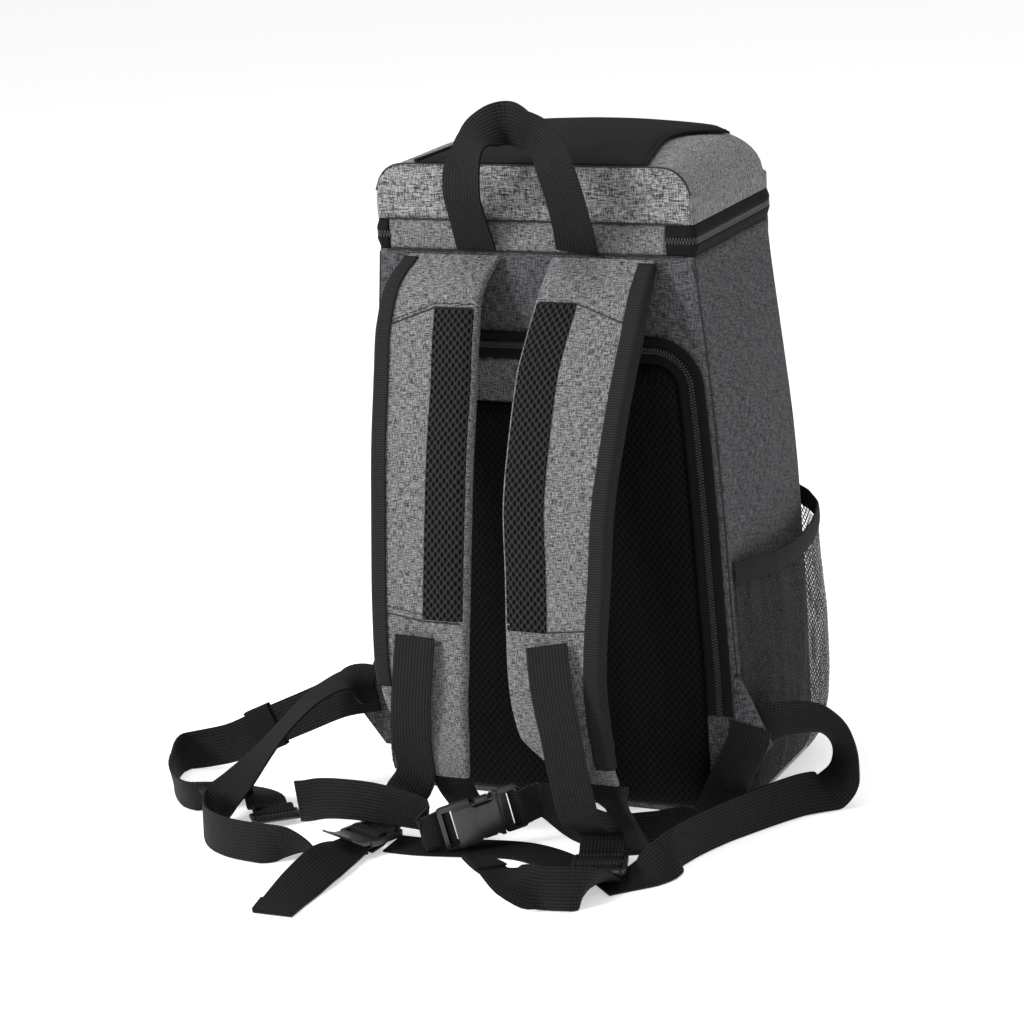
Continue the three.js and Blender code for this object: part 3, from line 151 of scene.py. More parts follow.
# Mesh helpers: every sheet is a grid whose points are put in place by a function
def wrap(name, columns, rows, place, closed=False, flip=False):
    """New object from a grid; place(column, row) gives each point. The UV map is in metres."""
    mesh = bmesh.new()
    bmesh.ops.create_grid(mesh, x_segments=columns, y_segments=rows, size=0.5)
    layer = mesh.loops.layers.uv.new("UVMap")
    cells = {}
    for vertex in mesh.verts:
        cell = (round((vertex.co.x + 0.5) * columns), round((vertex.co.y + 0.5) * rows))
        cells[vertex] = cell
        vertex.co = place(*cell)
    points = {cell: vertex.co.copy() for vertex, cell in cells.items()}
    across = [0.0]
    for i in range(columns):
        across.append(across[-1] + (points[i + 1, rows // 2] - points[i, rows // 2]).length)
    along = [0.0]
    for j in range(rows):
        along.append(along[-1] + (points[columns // 2, j + 1] - points[columns // 2, j]).length)
    for face in mesh.faces:
        for loop in face.loops:
            i, j = cells[loop.vert]
            loop[layer].uv = (across[i], along[j])
    if closed:
        bmesh.ops.remove_doubles(mesh, verts=mesh.verts, dist=WELD)
        open_edges = [edge for edge in mesh.edges if edge.is_boundary]
        if open_edges:
            bmesh.ops.holes_fill(mesh, edges=open_edges, sides=0)
        bmesh.ops.recalc_face_normals(mesh, faces=mesh.faces)
    elif flip:
        bmesh.ops.reverse_faces(mesh, faces=mesh.faces)
    return finish_mesh(name, mesh)


def finish_mesh(name, mesh, sharp=38):
    """Object from a bmesh, smooth except along its sharp edges."""
    for face in mesh.faces:
        face.smooth = True
    for edge in mesh.edges:
        if len(edge.link_faces) == 2 and edge.calc_face_angle(0) > math.radians(sharp):
            edge.smooth = False
    data = bpy.data.meshes.new(name)
    mesh.to_mesh(data)
    mesh.free()
    piece = bpy.data.objects.new(name, data)
    bpy.context.scene.collection.objects.link(piece)
    return piece


def weld(piece):
    """Joins the points where a closed form meets itself, at its seam and its pole."""
    mesh = bmesh.new()
    mesh.from_mesh(piece.data)
    bmesh.ops.remove_doubles(mesh, verts=mesh.verts, dist=WELD)
    bmesh.ops.recalc_face_normals(mesh, faces=mesh.faces)
    mesh.to_mesh(piece.data)
    mesh.free()
    return piece


def thicken(piece, thickness, offset=0.0, edge=0.0):
    """Live wall thickness, with its rim rounded where edge is given."""
    wall = piece.modifiers.new("Wall", "SOLIDIFY")
    wall.thickness = thickness
    wall.offset = offset
    wall.use_quality_normals = True
    if edge:
        rim = piece.modifiers.new("Rim", "BEVEL")
        rim.width = edge
        rim.segments = 2
        rim.limit_method = "ANGLE"
        rim.angle_limit = math.radians(50)
    return piece


def dress(piece, material, slot, *nodes):
    """Gives a piece its material and body, and hides the CAD nodes that it stands for. The slot is not
    used.
    """
    piece.data.materials.clear()
    piece.data.materials.append(material)
    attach(piece, "root")
    if nodes:
        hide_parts(*nodes)
    return piece


def spline(points, at):
    """Point of a centripetal Catmull-Rom curve; at counts its points from 0."""
    last = len(points) - 1
    place = min(int(at), last - 1)
    share = at - place
    b, c = points[place], points[place + 1]
    a = points[place - 1] if place else b * 2 - c
    d = points[place + 2] if place + 2 <= last else c * 2 - b
    before, middle, after = ((q - p).length ** 0.5 for p, q in ((a, b), (b, c), (c, d)))
    middle = middle or 1.0
    before = before or middle
    after = after or middle
    leave = ((b - a) / before - (c - a) / (before + middle) + (c - b) / middle) * middle
    arrive = ((c - b) / middle - (d - b) / (middle + after) + (d - c) / after) * middle
    return (
        b + leave * share
        + (b * -3 + c * 3 - leave * 2 - arrive) * share ** 2
        + (b * 2 - c * 2 + leave + arrive) * share ** 3
    )


def smooth_stations(stations, per_span, **extra):
    """Stations of place and width direction on a smooth curve, with other numbers carried along."""
    points = [station["p"] for station in stations]
    spans = len(stations) - 1
    out = []
    for step in range(spans * per_span + 1):
        at = step / per_span
        k = min(int(at), spans - 1)
        low, high = stations[k], stations[k + 1]
        station = {"p": spline(points, at), "at": at, **extra}
        station["across"] = low["across"].lerp(high["across"], at - k).normalized()
        for name in ("width", "thickness"):
            if name in low:
                station[name] = mix(low[name], high[name], at - k)
        out.append(station)
    return out


def add_frames(stations):
    """Adds to each station the direction across it and the one that its face looks in."""
    for i, station in enumerate(stations):
        along = stations[min(i + 1, len(stations) - 1)]["p"] - stations[max(i - 1, 0)]["p"]
        if station.get("level"):
            along.x = 0
        along.normalize()
        across = station["across"] - along * along.dot(station["across"])
        station["side"] = across.normalized()
        station["face"] = along.cross(station["side"])
    return stations


def at_station(station, width, height):
    return station["p"] + station["side"] * width + station["face"] * height


def sweep(name, stations, profile, closed=True):
    """A section carried along stations; profile(station) lists places across and above."""
    add_frames(stations)
    rings = []
    for station in stations:
        ring = [at_station(station, w, t) for w, t in profile(station)]
        rings.append(ring + ring[:1] if closed else ring)
    return wrap(name, len(rings[0]) - 1, len(rings) - 1, lambda i, j: rings[j][i], closed)


def circle(radius, steps):
    turns = [2 * math.pi * step / steps for step in range(steps)]
    return [(radius * math.cos(turn), radius * math.sin(turn)) for turn in turns]


def tube(name, points, radius, steps=10):
    """Round cord along points."""
    across = Vector((1, 0, 0))
    if abs((points[-1] - points[0]).normalized().x) > 0.9:
        across = Vector((0, 0, 1))
    stations = [{"p": point, "across": across} for point in points]
    return sweep(name, stations, lambda station: circle(radius, steps))


MOST_ROUNDED_EDGES = 9000


def beads(name, places, size, round_share=0.25):
    """Many small bars, each with its middle, length direction and width direction.

    Their edges are rounded unless there are too many of them.
    """
    mesh = bmesh.new()
    for middle, along, across in places:
        x = along.normalized()
        y = (across - x * x.dot(across)).normalized()
        turn = Matrix((x, y, x.cross(y))).transposed().to_4x4()
        scale = Matrix.Diagonal((*size, 1))
        bmesh.ops.create_cube(mesh, size=1, matrix=Matrix.Translation(middle) @ turn @ scale)
    if len(mesh.edges) < MOST_ROUNDED_EDGES:
        bmesh.ops.bevel(
            mesh, geom=mesh.edges[:], offset=min(size) * round_share, affect="EDGES",
            segments=1, profile=0.5, material=-1,
        )
    return finish_mesh(name, mesh, 80)


def stitches(name, points, normals, pitch=0.0032, length=0.0022, radius=0.0003):
    """Row of sewn stitches lying on a surface along points."""
    places = []
    carried = 0.0
    for i in range(len(points) - 1):
        step = points[i + 1] - points[i]
        while carried < step.length:
            at = points[i] + step.normalized() * carried
            places.append((at, step, normals[i]))
            carried += pitch
        carried -= step.length
    return beads(name, places, (length, radius * 1.6, radius * 2))


# Shader graphs
class Wire:
    """A shader socket that Python's operators work on."""

    def __init__(self, graph, socket):
        self.graph = graph
        self.socket = socket

    def math(self, operation, *values):
        return self.graph.node("ShaderNodeMath", {"operation": operation}, values)

    def __add__(self, other):
        return self.math("ADD", self, other)

    def __radd__(self, other):
        return self.math("ADD", other, self)

    def __sub__(self, other):
        return self.math("SUBTRACT", self, other)

    def __rsub__(self, other):
        return self.math("SUBTRACT", other, self)

    def __mul__(self, other):
        return self.math("MULTIPLY", self, other)

    def __truediv__(self, other):
        return self.math("DIVIDE", self, other)

    def __abs__(self):
        return self.math("ABSOLUTE", self)

    def sine(self):
        """Sine of an angle in radians."""
        return self.math("SINE", self)

    def part(self):
        """What is left over the whole number below."""
        return self.math("FRACT", self)

    def least(self, other):
        return self.math("MINIMUM", self, other)

    def most(self, other):
        return self.math("MAXIMUM", self, other)

    def step(self, low, high):
        """0 below low and 1 above high, smooth between them."""
        settings = {"interpolation_type": "SMOOTHSTEP"}
        return self.graph.node("ShaderNodeMapRange", settings, {0: self, 1: low, 2: high})


class Finish:
    """One material and the nodes that it is made of."""

    def __init__(self, name):
        self.material = bpy.data.materials.new(name)
        self.material.use_nodes = True
        self.tree = self.material.node_tree
        self.tree.nodes.clear()

    def node(self, kind, settings=None, values=(), out=0):
        """Adds a node: its settings first, then the values or links of its sockets."""
        made = self.tree.nodes.new(kind)
        for key, value in (settings or {}).items():
            setattr(made, key, value)
        pairs = values.items() if isinstance(values, dict) else enumerate(values)
        for key, value in pairs:
            if isinstance(value, Wire):
                self.tree.links.new(value.socket, made.inputs[key])
            else:
                made.inputs[key].default_value = value
        return Wire(self, made.outputs[out]) if made.outputs else None

    def places(self, surface):
        """Coordinates as three wires: the piece's own map in metres, or the object's space."""
        source = self.node("ShaderNodeTexCoord", out="UV" if surface else "Object")
        apart = self.node("ShaderNodeSeparateXYZ", None, (source,))
        return [Wire(self, socket) for socket in apart.socket.node.outputs]

    def vector(self, x, y, z=0.0):
        return self.node("ShaderNodeCombineXYZ", None, (x, y, z))

    def grain(self, vector, scale, detail=2.0, rough=0.5):
        """Noise from 0 to 1."""
        values = {"Vector": vector, "Scale": scale, "Detail": detail, "Roughness": rough}
        return self.node("ShaderNodeTexNoise", None, values)

    def blend(self, low, high, share):
        """Mixes two colours."""
        settings = {"data_type": "RGBA"}
        return self.node("ShaderNodeMix", settings, {0: share, 6: low, 7: high}, 2)

    def bump(self, height, depth):
        values = {"Strength": 1.0, "Distance": depth, "Height": height}
        return self.node("ShaderNodeBump", None, values)

    def surface(self, **sockets):
        """Ends the material in one Principled shader."""
        values = {key.replace("_", " "): value for key, value in sockets.items()}
        shader = self.node("ShaderNodeBsdfPrincipled", None, values)
        self.node("ShaderNodeOutputMaterial", None, {"Surface": shader})
        return self.material


def rgba(colour):
    return (*colour[:3], 1.0)


def scaled(colour, factor, added=0.0):
    """A colour made lighter or darker."""
    return tuple(min(1.0, part * factor + added) for part in colour)


def heather_finish(name, dark, light, surface=True, fineness=1.0):
    """Melange polyester: dark and light threads lying across each other.

    A thread is noise with many cells per metre across it and few along it.
    """
    f = Finish(name)
    u, v, w = f.places(surface)
    if surface:
        upright = f.vector(u * 1900, v * 210, 0.0)
    else:
        upright = f.vector(u * 1900, v * 1900, w * 210)
    long_way = f.grain(upright, fineness, 2.0, 0.6)
    short_way = f.grain(f.vector(u * 200, v * 2000, w * 2000), fineness, 2.0, 0.6)
    speck = f.grain(f.vector(u, v, w), 2000.0, 1.0, 0.7)
    cloud = f.grain(f.vector(u, v, w), 35.0, 2.0)
    threads = long_way * 0.34 + short_way * 0.42 + speck * 0.24
    tone = threads.step(0.43, 0.58) * 0.94 + cloud * 0.10 - 0.03
    colour = f.blend(rgba(dark), rgba(light), tone.most(0.0).least(1.0))
    weave_pitch = 0.0007
    weave = (u * (2 * math.pi / weave_pitch)).sine() * (v * (2 * math.pi / weave_pitch)).sine()
    height = weave * 0.25 + threads * 1.4
    return f.surface(
        Base_Color=colour, Roughness=0.92 + speck * 0.06,
        Normal=f.bump(height, 0.00022), Specular_IOR_Level=0.15,
    )


def webbing_finish(name, colour, cord=0.0024, stitch=0.0021):
    """Woven strap: lengthwise cords of slanted stitches. The map's first axis runs across."""
    f = Finish(name)
    u, v, _ = f.places(True)
    hill = abs((u * (math.pi / cord)).sine())
    side = (u / cord).part() - 0.5
    slant = ((v + abs(side) * cord * 1.3) * (2 * math.pi / stitch)).sine() * 0.5 + 0.5
    wear = f.grain(f.vector(u, v, 0.0), 160.0, 3.0, 0.6)
    fibre = f.grain(f.vector(u * 3000, v * 500, 0.0), 1.0, 2.0)
    height = hill * 0.5 + slant * hill * 0.5 + fibre * 0.12
    # The paler colour is a painted highlight on the raised stitches of the cords; the wear and fibre
    # noise add random tone
    light = scaled(colour, 3.0, 0.018)
    shade = (slant * hill * 0.8 + wear * 0.3 + fibre * 0.2 - 0.25).most(0.0).least(1.0)
    return f.surface(
        Base_Color=f.blend(rgba(colour), rgba(light), shade), Roughness=0.62 + fibre * 0.2,
        Normal=f.bump(height, 0.0005), Specular_IOR_Level=0.12,
    )


def ribbed_finish(name, colour, light, pitch=0.0017, twill_pitch=0.0011):
    """Grosgrain binding: fine ribs across its length, paler on their raised crests and twill as a
    painted highlight, with random paler flecks.
    """
    f = Finish(name)
    u, v, _ = f.places(True)
    rib = (v * (2 * math.pi / pitch)).sine() * 0.5 + 0.5
    twill = ((u + v) * (2 * math.pi / twill_pitch)).sine() * 0.5 + 0.5
    fleck = f.grain(f.vector(u * 900, v * 900, 0.0), 1.0, 2.0, 0.6)
    # Painted highlight on the raised ribs and twill, plus random flecks
    shade = (rib * 0.55 + twill * 0.25 + fleck * 0.5 - 0.25).most(0.0).least(1.0)
    return f.surface(
        Base_Color=f.blend(rgba(colour), rgba(light), shade), Roughness=0.8,
        Normal=f.bump(rib + twill * 0.4, 0.00025), Specular_IOR_Level=0.12,
    )


def air_mesh_finish(name, colour, light, pitch_across=0.0052, pitch_along=0.0064):
    """Spacer mesh: staggered long holes between rounded threads, the holes in the darker colour as
    painted shade in the recesses.
    """
    f = Finish(name)
    u, v, _ = f.places(True)
    sway = f.grain(f.vector(u, v, 0.0), 60.0, 1.0) * 0.0016
    across = (u + sway) / pitch_across
    along = (v + sway) / pitch_along
    from_holes = []
    for shift in (0.0, 0.5):
        x = (across + shift).part() - 0.5
        y = (along + shift).part() - 0.5
        from_holes.append(x * x * 5.2 + y * y * 3.4)
    thread = from_holes[0].least(from_holes[1]).step(0.14, 0.42)
    strand = f.grain(f.vector(u * 2200, v * 1200, 0.0), 1.0, 2.0, 0.6)
    # The threads take the paler colour and the holes the darker one, which is painted shade; the strand
    # noise adds random tone
    shade = (thread * (0.35 + strand * 0.75)).least(1.0)
    return f.surface(
        Base_Color=f.blend(rgba(colour), rgba(light), shade), Roughness=0.78,
        Normal=f.bump(thread + strand * 0.15, 0.0011), Specular_IOR_Level=0.08,
    )


def net_finish(name, colour, light, pitch=0.0030, slope=0.6):
    """Fine stretch net, open between its crossing threads."""
    f = Finish(name)
    u, v, _ = f.places(True)
    left = abs(((u + v * slope) * (math.pi / pitch)).sine())
    right = abs(((u - v * slope) * (math.pi / pitch)).sine())
    thread = 1 - left.least(right).step(0.22, 0.46)
    # Vertical fold streaks: they shift the net's colour from dark to pale as painted light and shade on
    # its gathers, and they also thicken its cover
    fold = f.grain(f.vector(u * 90, v * 9, 0.0), 1.0, 2.0)
    cover = (thread * (0.55 + fold * 0.7) + 0.10).least(1.0)
    return f.surface(
        Base_Color=f.blend(rgba(colour), rgba(light), fold * 0.7), Roughness=0.7,
        Alpha=cover, Specular_IOR_Level=0.1,
    )


def plain_finish(name, colour, rough, scale, depth, gloss):
    """Even cloth, tape or moulded plastic with a fine grain."""
    f = Finish(name)
    place = f.vector(*f.places(False))
    grain = f.grain(place, scale, 3.0, 0.6)
    cloud = f.grain(place, 45.0, 3.0)
    tone = f.blend(rgba(colour), rgba(scaled(colour, 1.7, 0.002)), grain * 0.6 + cloud * 0.4)
    return f.surface(
        Base_Color=tone, Roughness=rough + (grain - 0.5) * 0.12,
        Normal=f.bump(grain, depth), Specular_IOR_Level=gloss,
    )


# Sizes and colours that a user would change
def length_property(name, description, default, least, most):
    return FloatProperty(
        name=name, description=description, default=default, min=least, max=most, unit="LENGTH",
    )


def colour_property(name, description, default):
    return FloatVectorProperty(
        name=name, description=description, default=default, subtype="COLOR", size=3,
        min=0.0, max=1.0,
    )


class BackpackSizes(bpy.types.PropertyGroup):
    web_width: length_property("Web width", "Width of the webs and the handle", 0.030, 0.010, 0.060)
    web_thickness: length_property("Web thickness", "Thickness of the webs", 0.0016, 0.0008, 0.004)
    strap_width: length_property("Strap width", "Width of the shoulder straps", 0.076, 0.040, 0.120)
    strap_thickness: length_property(
        "Strap thickness", "Thickness of the strap padding", 0.012, 0.004, 0.030,
    )
    strap_standoff: length_property(
        "Strap standoff", "How far the straps lean out from the back", 0.104, 0.010, 0.200,
    )
    panel_padding: length_property(
        "Back padding", "Height of the mesh panel over the back", 0.0066, 0.002, 0.020,
    )
    wall_wrinkle: length_property(
        "Wall wrinkles", "Depth of the soft wrinkles in the walls", 0.0016, 0.0, 0.006,
    )
    tooth_pitch: length_property(
        "Zip pitch", "Distance from one zip coil to the next", 0.0021, 0.001, 0.005,
    )


class BackpackColours(bpy.types.PropertyGroup):
    heather_dark: colour_property("Dark thread", "Dark threads of the cloth", (0.016, 0.016, 0.017))
    heather_light: colour_property("Light thread", "Light threads of the cloth", (0.262, 0.262, 0.27))
    # Paler threads of the walls and corner tabs, darker than the harness's as painted shade on the
    # sides
    side_thread_painted_shade: colour_property("Side thread", "Light threads of the walls", (0.125, 0.125, 0.134))
    # Paler threads of the lid, lighter than the harness's as painted light on the top
    lid_thread_painted_light: colour_property("Lid thread", "Light threads of the lid", (0.34, 0.34, 0.348))
    webbing: colour_property("Webbing", "Webs and handle", (0.0030, 0.0030, 0.0033))
    # Colour of the spacer mesh's holes, which is painted shade in its recesses
    mesh: colour_property("Air mesh", "Holes of the spacer mesh", (0.0008, 0.0008, 0.0009))
    mesh_thread: colour_property("Mesh thread", "Threads of the spacer mesh", (0.030, 0.030, 0.032))
    binding: colour_property("Binding", "Ribbed binding", (0.004, 0.004, 0.0045))
    # Colour of the painted highlight on the binding's raised ribs, and of its random flecks
    binding_highlight_and_fleck: colour_property("Binding thread", "Pale binding threads", (0.028, 0.028, 0.030))
    panel: colour_property("Lid panel", "Black cloth of the lid", (0.0045, 0.0045, 0.0048))
    zip: colour_property("Zip", "Zip tapes and coils", (0.0035, 0.0035, 0.0038))
    plastic: colour_property("Plastic", "Buckle and locks", (0.009, 0.009, 0.0095))


def sizes():
    return bpy.context.scene.backpack_sizes


def material(name):
    """One of the finishes. None has the name of a slot, which the frame already holds."""
    return bpy.data.materials[name]


def make_finishes():
    c = bpy.context.scene.backpack_colours
    heather_finish("harness_heather", c.heather_dark, c.heather_light)
    # The walls and corner tabs take the darker side threads: painted shade on the sides
    heather_finish("wall_heather_painted_shade", c.heather_dark, c.side_thread_painted_shade, fineness=0.7)
    heather_finish("tab_heather_painted_shade", c.heather_dark, c.side_thread_painted_shade, surface=False)
    # The lid takes the paler lid threads: painted light on the top
    heather_finish("lid_heather_painted_light", c.heather_dark, c.lid_thread_painted_light, surface=False, fineness=0.88)
    webbing_finish("woven_web", c.webbing)
    ribbed_finish("grosgrain", c.binding, c.binding_highlight_and_fleck)
    air_mesh_finish("spacer_mesh", c.mesh, c.mesh_thread)
    # The back panel's mesh threads are darkened to a fifth: painted shade between the straps
    air_mesh_finish("back_spacer_mesh_painted_shade", c.mesh, scaled(c.mesh_thread, 0.2))
    net_finish("pocket_netting", (0.012, 0.012, 0.013), (0.060, 0.060, 0.064))
    for finish in table("name colour rough scale depth gloss", [
        ("lid_cloth", c.panel, 0.85, 900.0, 0.00012, 0.12),
        ("zip_tape", c.zip, 0.8, 1600.0, 0.0001, 0.1),
        ("zip_coil", scaled(c.zip, 2.2), 0.4, 900.0, 0.00004, 0.5),
        ("moulded_plastic", c.plastic, 0.36, 2600.0, 0.00003, 0.5),
        ("seam_thread", (0.008, 0.008, 0.009), 0.8, 900.0, 0.0001, 0.4),
        ("pale_thread", (0.16, 0.16, 0.165), 0.8, 900.0, 0.0001, 0.4),
    ]):
        plain_finish(**finish)


# Body and lid
def soft_wrinkle(point, depth):
    """Small dents of the wall, none of them outwards."""
    slow = noise.noise(Vector((point.x * 16, point.y * 16, point.z * 7)))
    fine = noise.noise(Vector((point.x * 45, point.y * 45, point.z * 26)) + Vector((5, 3, 9)))
    return -depth * clamp(0.5 + slow * 0.8 + fine * 0.25)


WALL_ROWS = 70
FLOOR_RINGS = (0.0, 0.35, 0.7, 0.9)


class BACKPACK_OT_body(bpy.types.Operator):
    """Padded walls of the body with their side seams"""

    bl_idname = "backpack.body"
    bl_label = "Body"

    def execute(self, context):
        outlines = []
        for row in range(WALL_ROWS + 1):
            z = row / WALL_ROWS * RIM_HEIGHT
            off_ends = smooth(z / 0.03) * smooth((RIM_HEIGHT - z) / 0.012)
            ring = []
            for p in bag_outline(z):
                fade = smooth((p.y + HALF_DEPTH) / 0.03) * off_ends
                dent = soft_wrinkle(Vector((p.x, p.y, z)), sizes().wall_wrinkle) * fade
                q = p + p.normalized() * dent
                ring.append(Vector((q.x, q.y, z)))
            outlines.append(ring + ring[:1])

        def place(i, j):
            """Floor rings first, closing at the middle, and then the walls."""
            if j < len(FLOOR_RINGS):
                return outlines[0][i] * FLOOR_RINGS[j]
            return outlines[j - len(FLOOR_RINGS)][i]

        rows = WALL_ROWS + len(FLOOR_RINGS)
        body = weld(wrap("body_walls", len(outlines[0]) - 1, rows, place))
        thicken(body, BODY_WALL, -1.0)
        # The walls' darker threads are painted shade
        dress(body, material("wall_heather_painted_shade"), "heather_light", "body_shell")
        for side, word in ((-1, "left"), (1, "right")):
            points = []
            for k in range(60):
                z = mix(0.012, RIM_HEIGHT - 0.002, k / 59)
                points.append(Vector((side * (body_half_width(z) - 0.0010), BACK_FACE + 0.0011, z)))
            seam = tube(f"side_seam_{word}", points, 0.0007, 8)
            dress(seam, material("seam_thread"), "heather_dark")
        return {"FINISHED"}


LID_FRONT = 0.94 * HALF_DEPTH
LID_HALF = body_half_width(RIM_HEIGHT)
LID_EDGE_RISE = 0.010
LID_DOME_RISE = 0.029
LID_CROWN = 0.010
LID_FRONT_ROUND = 0.048


def lid_top(x, y):
    """Height of the lid's outer face over a point of the plan."""
    forward = clamp((y + HALF_DEPTH) / (2 * HALF_DEPTH))
    shoulder = mix(0.028, 0.054, forward)
    side = max(0, (abs(x) - (LID_HALF - shoulder)) / shoulder)
    front = max(0, (y - (LID_FRONT - LID_FRONT_ROUND)) / LID_FRONT_ROUND)
    roundness = math.sqrt(max(0.0, 1 - min(1, side ** 3 + front ** 2)))
    crown = LID_CROWN * max(0, math.sin(math.pi * min(1, 0.75 * (forward + 0.001))))
    dome = LID_DOME_RISE + crown * (1 - (x / LID_HALF) ** 2)
    return LID_RIM + LID_EDGE_RISE + dome * roundness


def on_lid(x, y, offset):
    """Point at a distance out from the lid's face."""
    step = 0.0005
    dx = (lid_top(x + step, y) - lid_top(x - step, y)) / (2 * step)
    dy = (lid_top(x, y + step) - lid_top(x, y - step)) / (2 * step)
    return Vector((x, y, lid_top(x, y))) + Vector((-dx, -dy, 1)).normalized() * offset


PANEL_EDGE = table("forward edge", [
    (0.0, 1.0), (0.17, 0.92), (0.36, 0.84), (0.47, 0.83), (0.56, 0.88), (0.63, 0.98),
    (0.7, 1.08), (0.8, 1.1), (0.9, 1.02), (0.96, 0.9),
])


PANEL_HALF = 0.086
PANEL_END = 0.96
PIPING_END = 0.74
LID_RINGS = (
    1, 0.996, 0.985, 0.97, 0.95, 0.925, 0.9, 0.87, 0.83, 0.78, 0.72, 0.64, 0.54, 0.42, 0.28, 0.12, 0.0,
)
LID_WALL_ROWS = 8


def panel_edge(forward):
    """Half the width of the black panel, rounded between the table's rows."""
    spread = 0.03
    shares = [read_table(PANEL_EDGE, "forward", forward + spread * k)["edge"] for k in (-1, 0, 1)]
    return sum(shares) / 3 * PANEL_HALF


def panel_row(forward):
    return mix(-HALF_DEPTH, LID_FRONT, forward) + 0.001


HINGE_ENDS = (-0.110, 0.099)


class BACKPACK_OT_lid(bpy.types.Operator):
    """Padded lid with its black panel, seams and hinge band"""

    bl_idname = "backpack.lid"
    bl_label = "Lid"

    def execute(self, context):
        rim = bag_outline(RIM_HEIGHT)
        middle = Vector((0, -0.006))
        count = len(rim)

        def place(i, j):
            """The upright edge first, and then rings over the top, closing at the middle."""
            p = rim[i % count]
            if j < LID_WALL_ROWS:
                share = j / LID_WALL_ROWS
                top = lid_top(p.x, p.y)
                puff = 0.0012 * math.sin(math.pi * share) * smooth((top - LID_RIM) / 0.03)
                on_back = p.y < BACK_FACE + 0.002
                return Vector((p.x, p.y - (puff if on_back else 0), mix(LID_RIM, top, share)))
            ring = LID_RINGS[j - LID_WALL_ROWS]
            q = middle.lerp(p, ring)
            dent = soft_wrinkle(Vector((q.x, q.y, 0.2)), 0.0008) * smooth((1 - ring) * 8)
            return Vector((q.x, q.y, lid_top(q.x, q.y) + dent))

        lid = weld(wrap("lid_dome", count, LID_WALL_ROWS + len(LID_RINGS) - 1, place))
        thicken(lid, LID_WALL, -1.0)
        # The lid's paler threads are painted light
        dress(lid, material("lid_heather_painted_light"), "heather_dark", "lid_shell")
        self.panel()
        self.hinge()
        points = []
        for k in range(81):
            x = mix(-0.1185, 0.1185, k / 80)
            points.append(Vector((x, BACK_FACE + 0.0006, lid_top(x, BACK_FACE) - 0.0004)))
        seam = tube("lid_back_seam", points, 0.0008, 8)
        dress(seam, material("seam_thread"), "heather_dark")
        return {"FINISHED"}

    def panel(self):
        """Black cloth over the middle of the lid, sewn down along its edges."""
        columns, rows = 40, 48

        def place(i, j):
            forward = mix(0.0, PANEL_END, j / rows)
            across = mix(-1, 1, i / columns)
            rim = min(1 - abs(across), (1 - j / rows) * 1.2, j / rows * 1.2 + 0.03)
            offset = mix(0.0006, 0.0022, smooth(rim / 0.12))
            offset += 0.0003 * noise.noise(Vector((across * 3, forward * 4, 1.0)))
            return on_lid(panel_edge(forward) * across, panel_row(forward), offset)

        panel = wrap("lid_panel", columns, rows, place)
        thicken(panel, 0.0008, 0.0)
        dress(panel, material("lid_cloth"), "black_fabric", "lid_top_panel")
        for side, word in ((-1, "left"), (1, "right")):
            points = []
            for k in range(61):
                forward = mix(0.0, PIPING_END, k / 60)
                x = side * (panel_edge(forward) + 0.0008)
                points.append(on_lid(x, panel_row(forward), 0.0016))
            cord = tube(f"lid_cord_{word}", points, 0.0015, 12)
            dress(cord, material("lid_cloth"), "black_fabric", f"lid_piping_{word}")

    def hinge(self):
        """Grey band along the back, between its two seams."""
        low, high = RIM_HEIGHT + FIT, LID_RIM - FIT

        def place(i, j):
            x = mix(*HINGE_ENDS, i / 60)
            share = j / 10
            swell = 0.0010 * math.sin(math.pi * share) ** 0.6
            return Vector((x, BACK_FACE + 0.0008 - swell, mix(low, high, share)))

        band = thicken(wrap("hinge_cloth", 60, 10, place), 0.0012, -1.0)
        dress(band, material("harness_heather"), "heather_light", "hinge_band")
        for word, z in (("low", RIM_HEIGHT), ("high", LID_RIM)):
            points = [Vector((mix(-0.112, 0.112, k / 60), BACK_FACE - 0.0002, z)) for k in range(61)]
            seam = tube(f"hinge_seam_{word}", points, 0.0006, 6)
            dress(seam, material("seam_thread"), "heather_dark")


def rim_run(from_x, to_x):
    """Places and outward directions along the rim, from one end of the zip round the front."""
    rim = bag_outline(RIM_HEIGHT)
    run = [Vector((from_x, BACK_FACE))]
    run += rim[: len(rim) - (SIDE_STEPS - 1)]
    run.append(Vector((to_x, BACK_FACE)))
    dense = []
    for a, b in zip(run, run[1:]):
        steps = max(1, math.ceil((b - a).length / 0.004))
        dense += [a.lerp(b, k / steps) for k in range(steps)]
    dense.append(run[-1])
    out = []
    for i, p in enumerate(dense):
        along = (dense[min(i + 1, len(dense) - 1)] - dense[max(i - 1, 0)]).normalized()
        out.append((p, Vector((along.y, -along.x))))
    return out


def coil_places(run, pitch):
    """Middles of the zip's coils along a run of points and directions out of the surface."""
    places = []
    carried = 0.0
    for (a, out_a), (b, out_b) in zip(run, run[1:]):
        length = (b - a).length
        while carried < length:
            share = carried / length
            places.append((a.lerp(b, share), out_a.lerp(out_b, share), (b - a).normalized()))
            carried += pitch
        carried -= length
    return places


COIL_SIZE = (0.0026, 0.0013, 0.0014)


def zip_coils(name, run, node):
    """Two rows of bars that meet in the middle, one half a pitch behind the other."""
    pitch = sizes().tooth_pitch
    bars = []
    for middle, out, along in coil_places(run, pitch):
        across = along.cross(out).normalized()
        for side in (-1, 1):
            shift = along * (0.25 * side * pitch)
            bars.append((middle + across * (side * COIL_SIZE[0] * 0.42) + shift, across, out))
    dress(beads(name, bars, COIL_SIZE), material("zip_coil"), "zip_black", node)


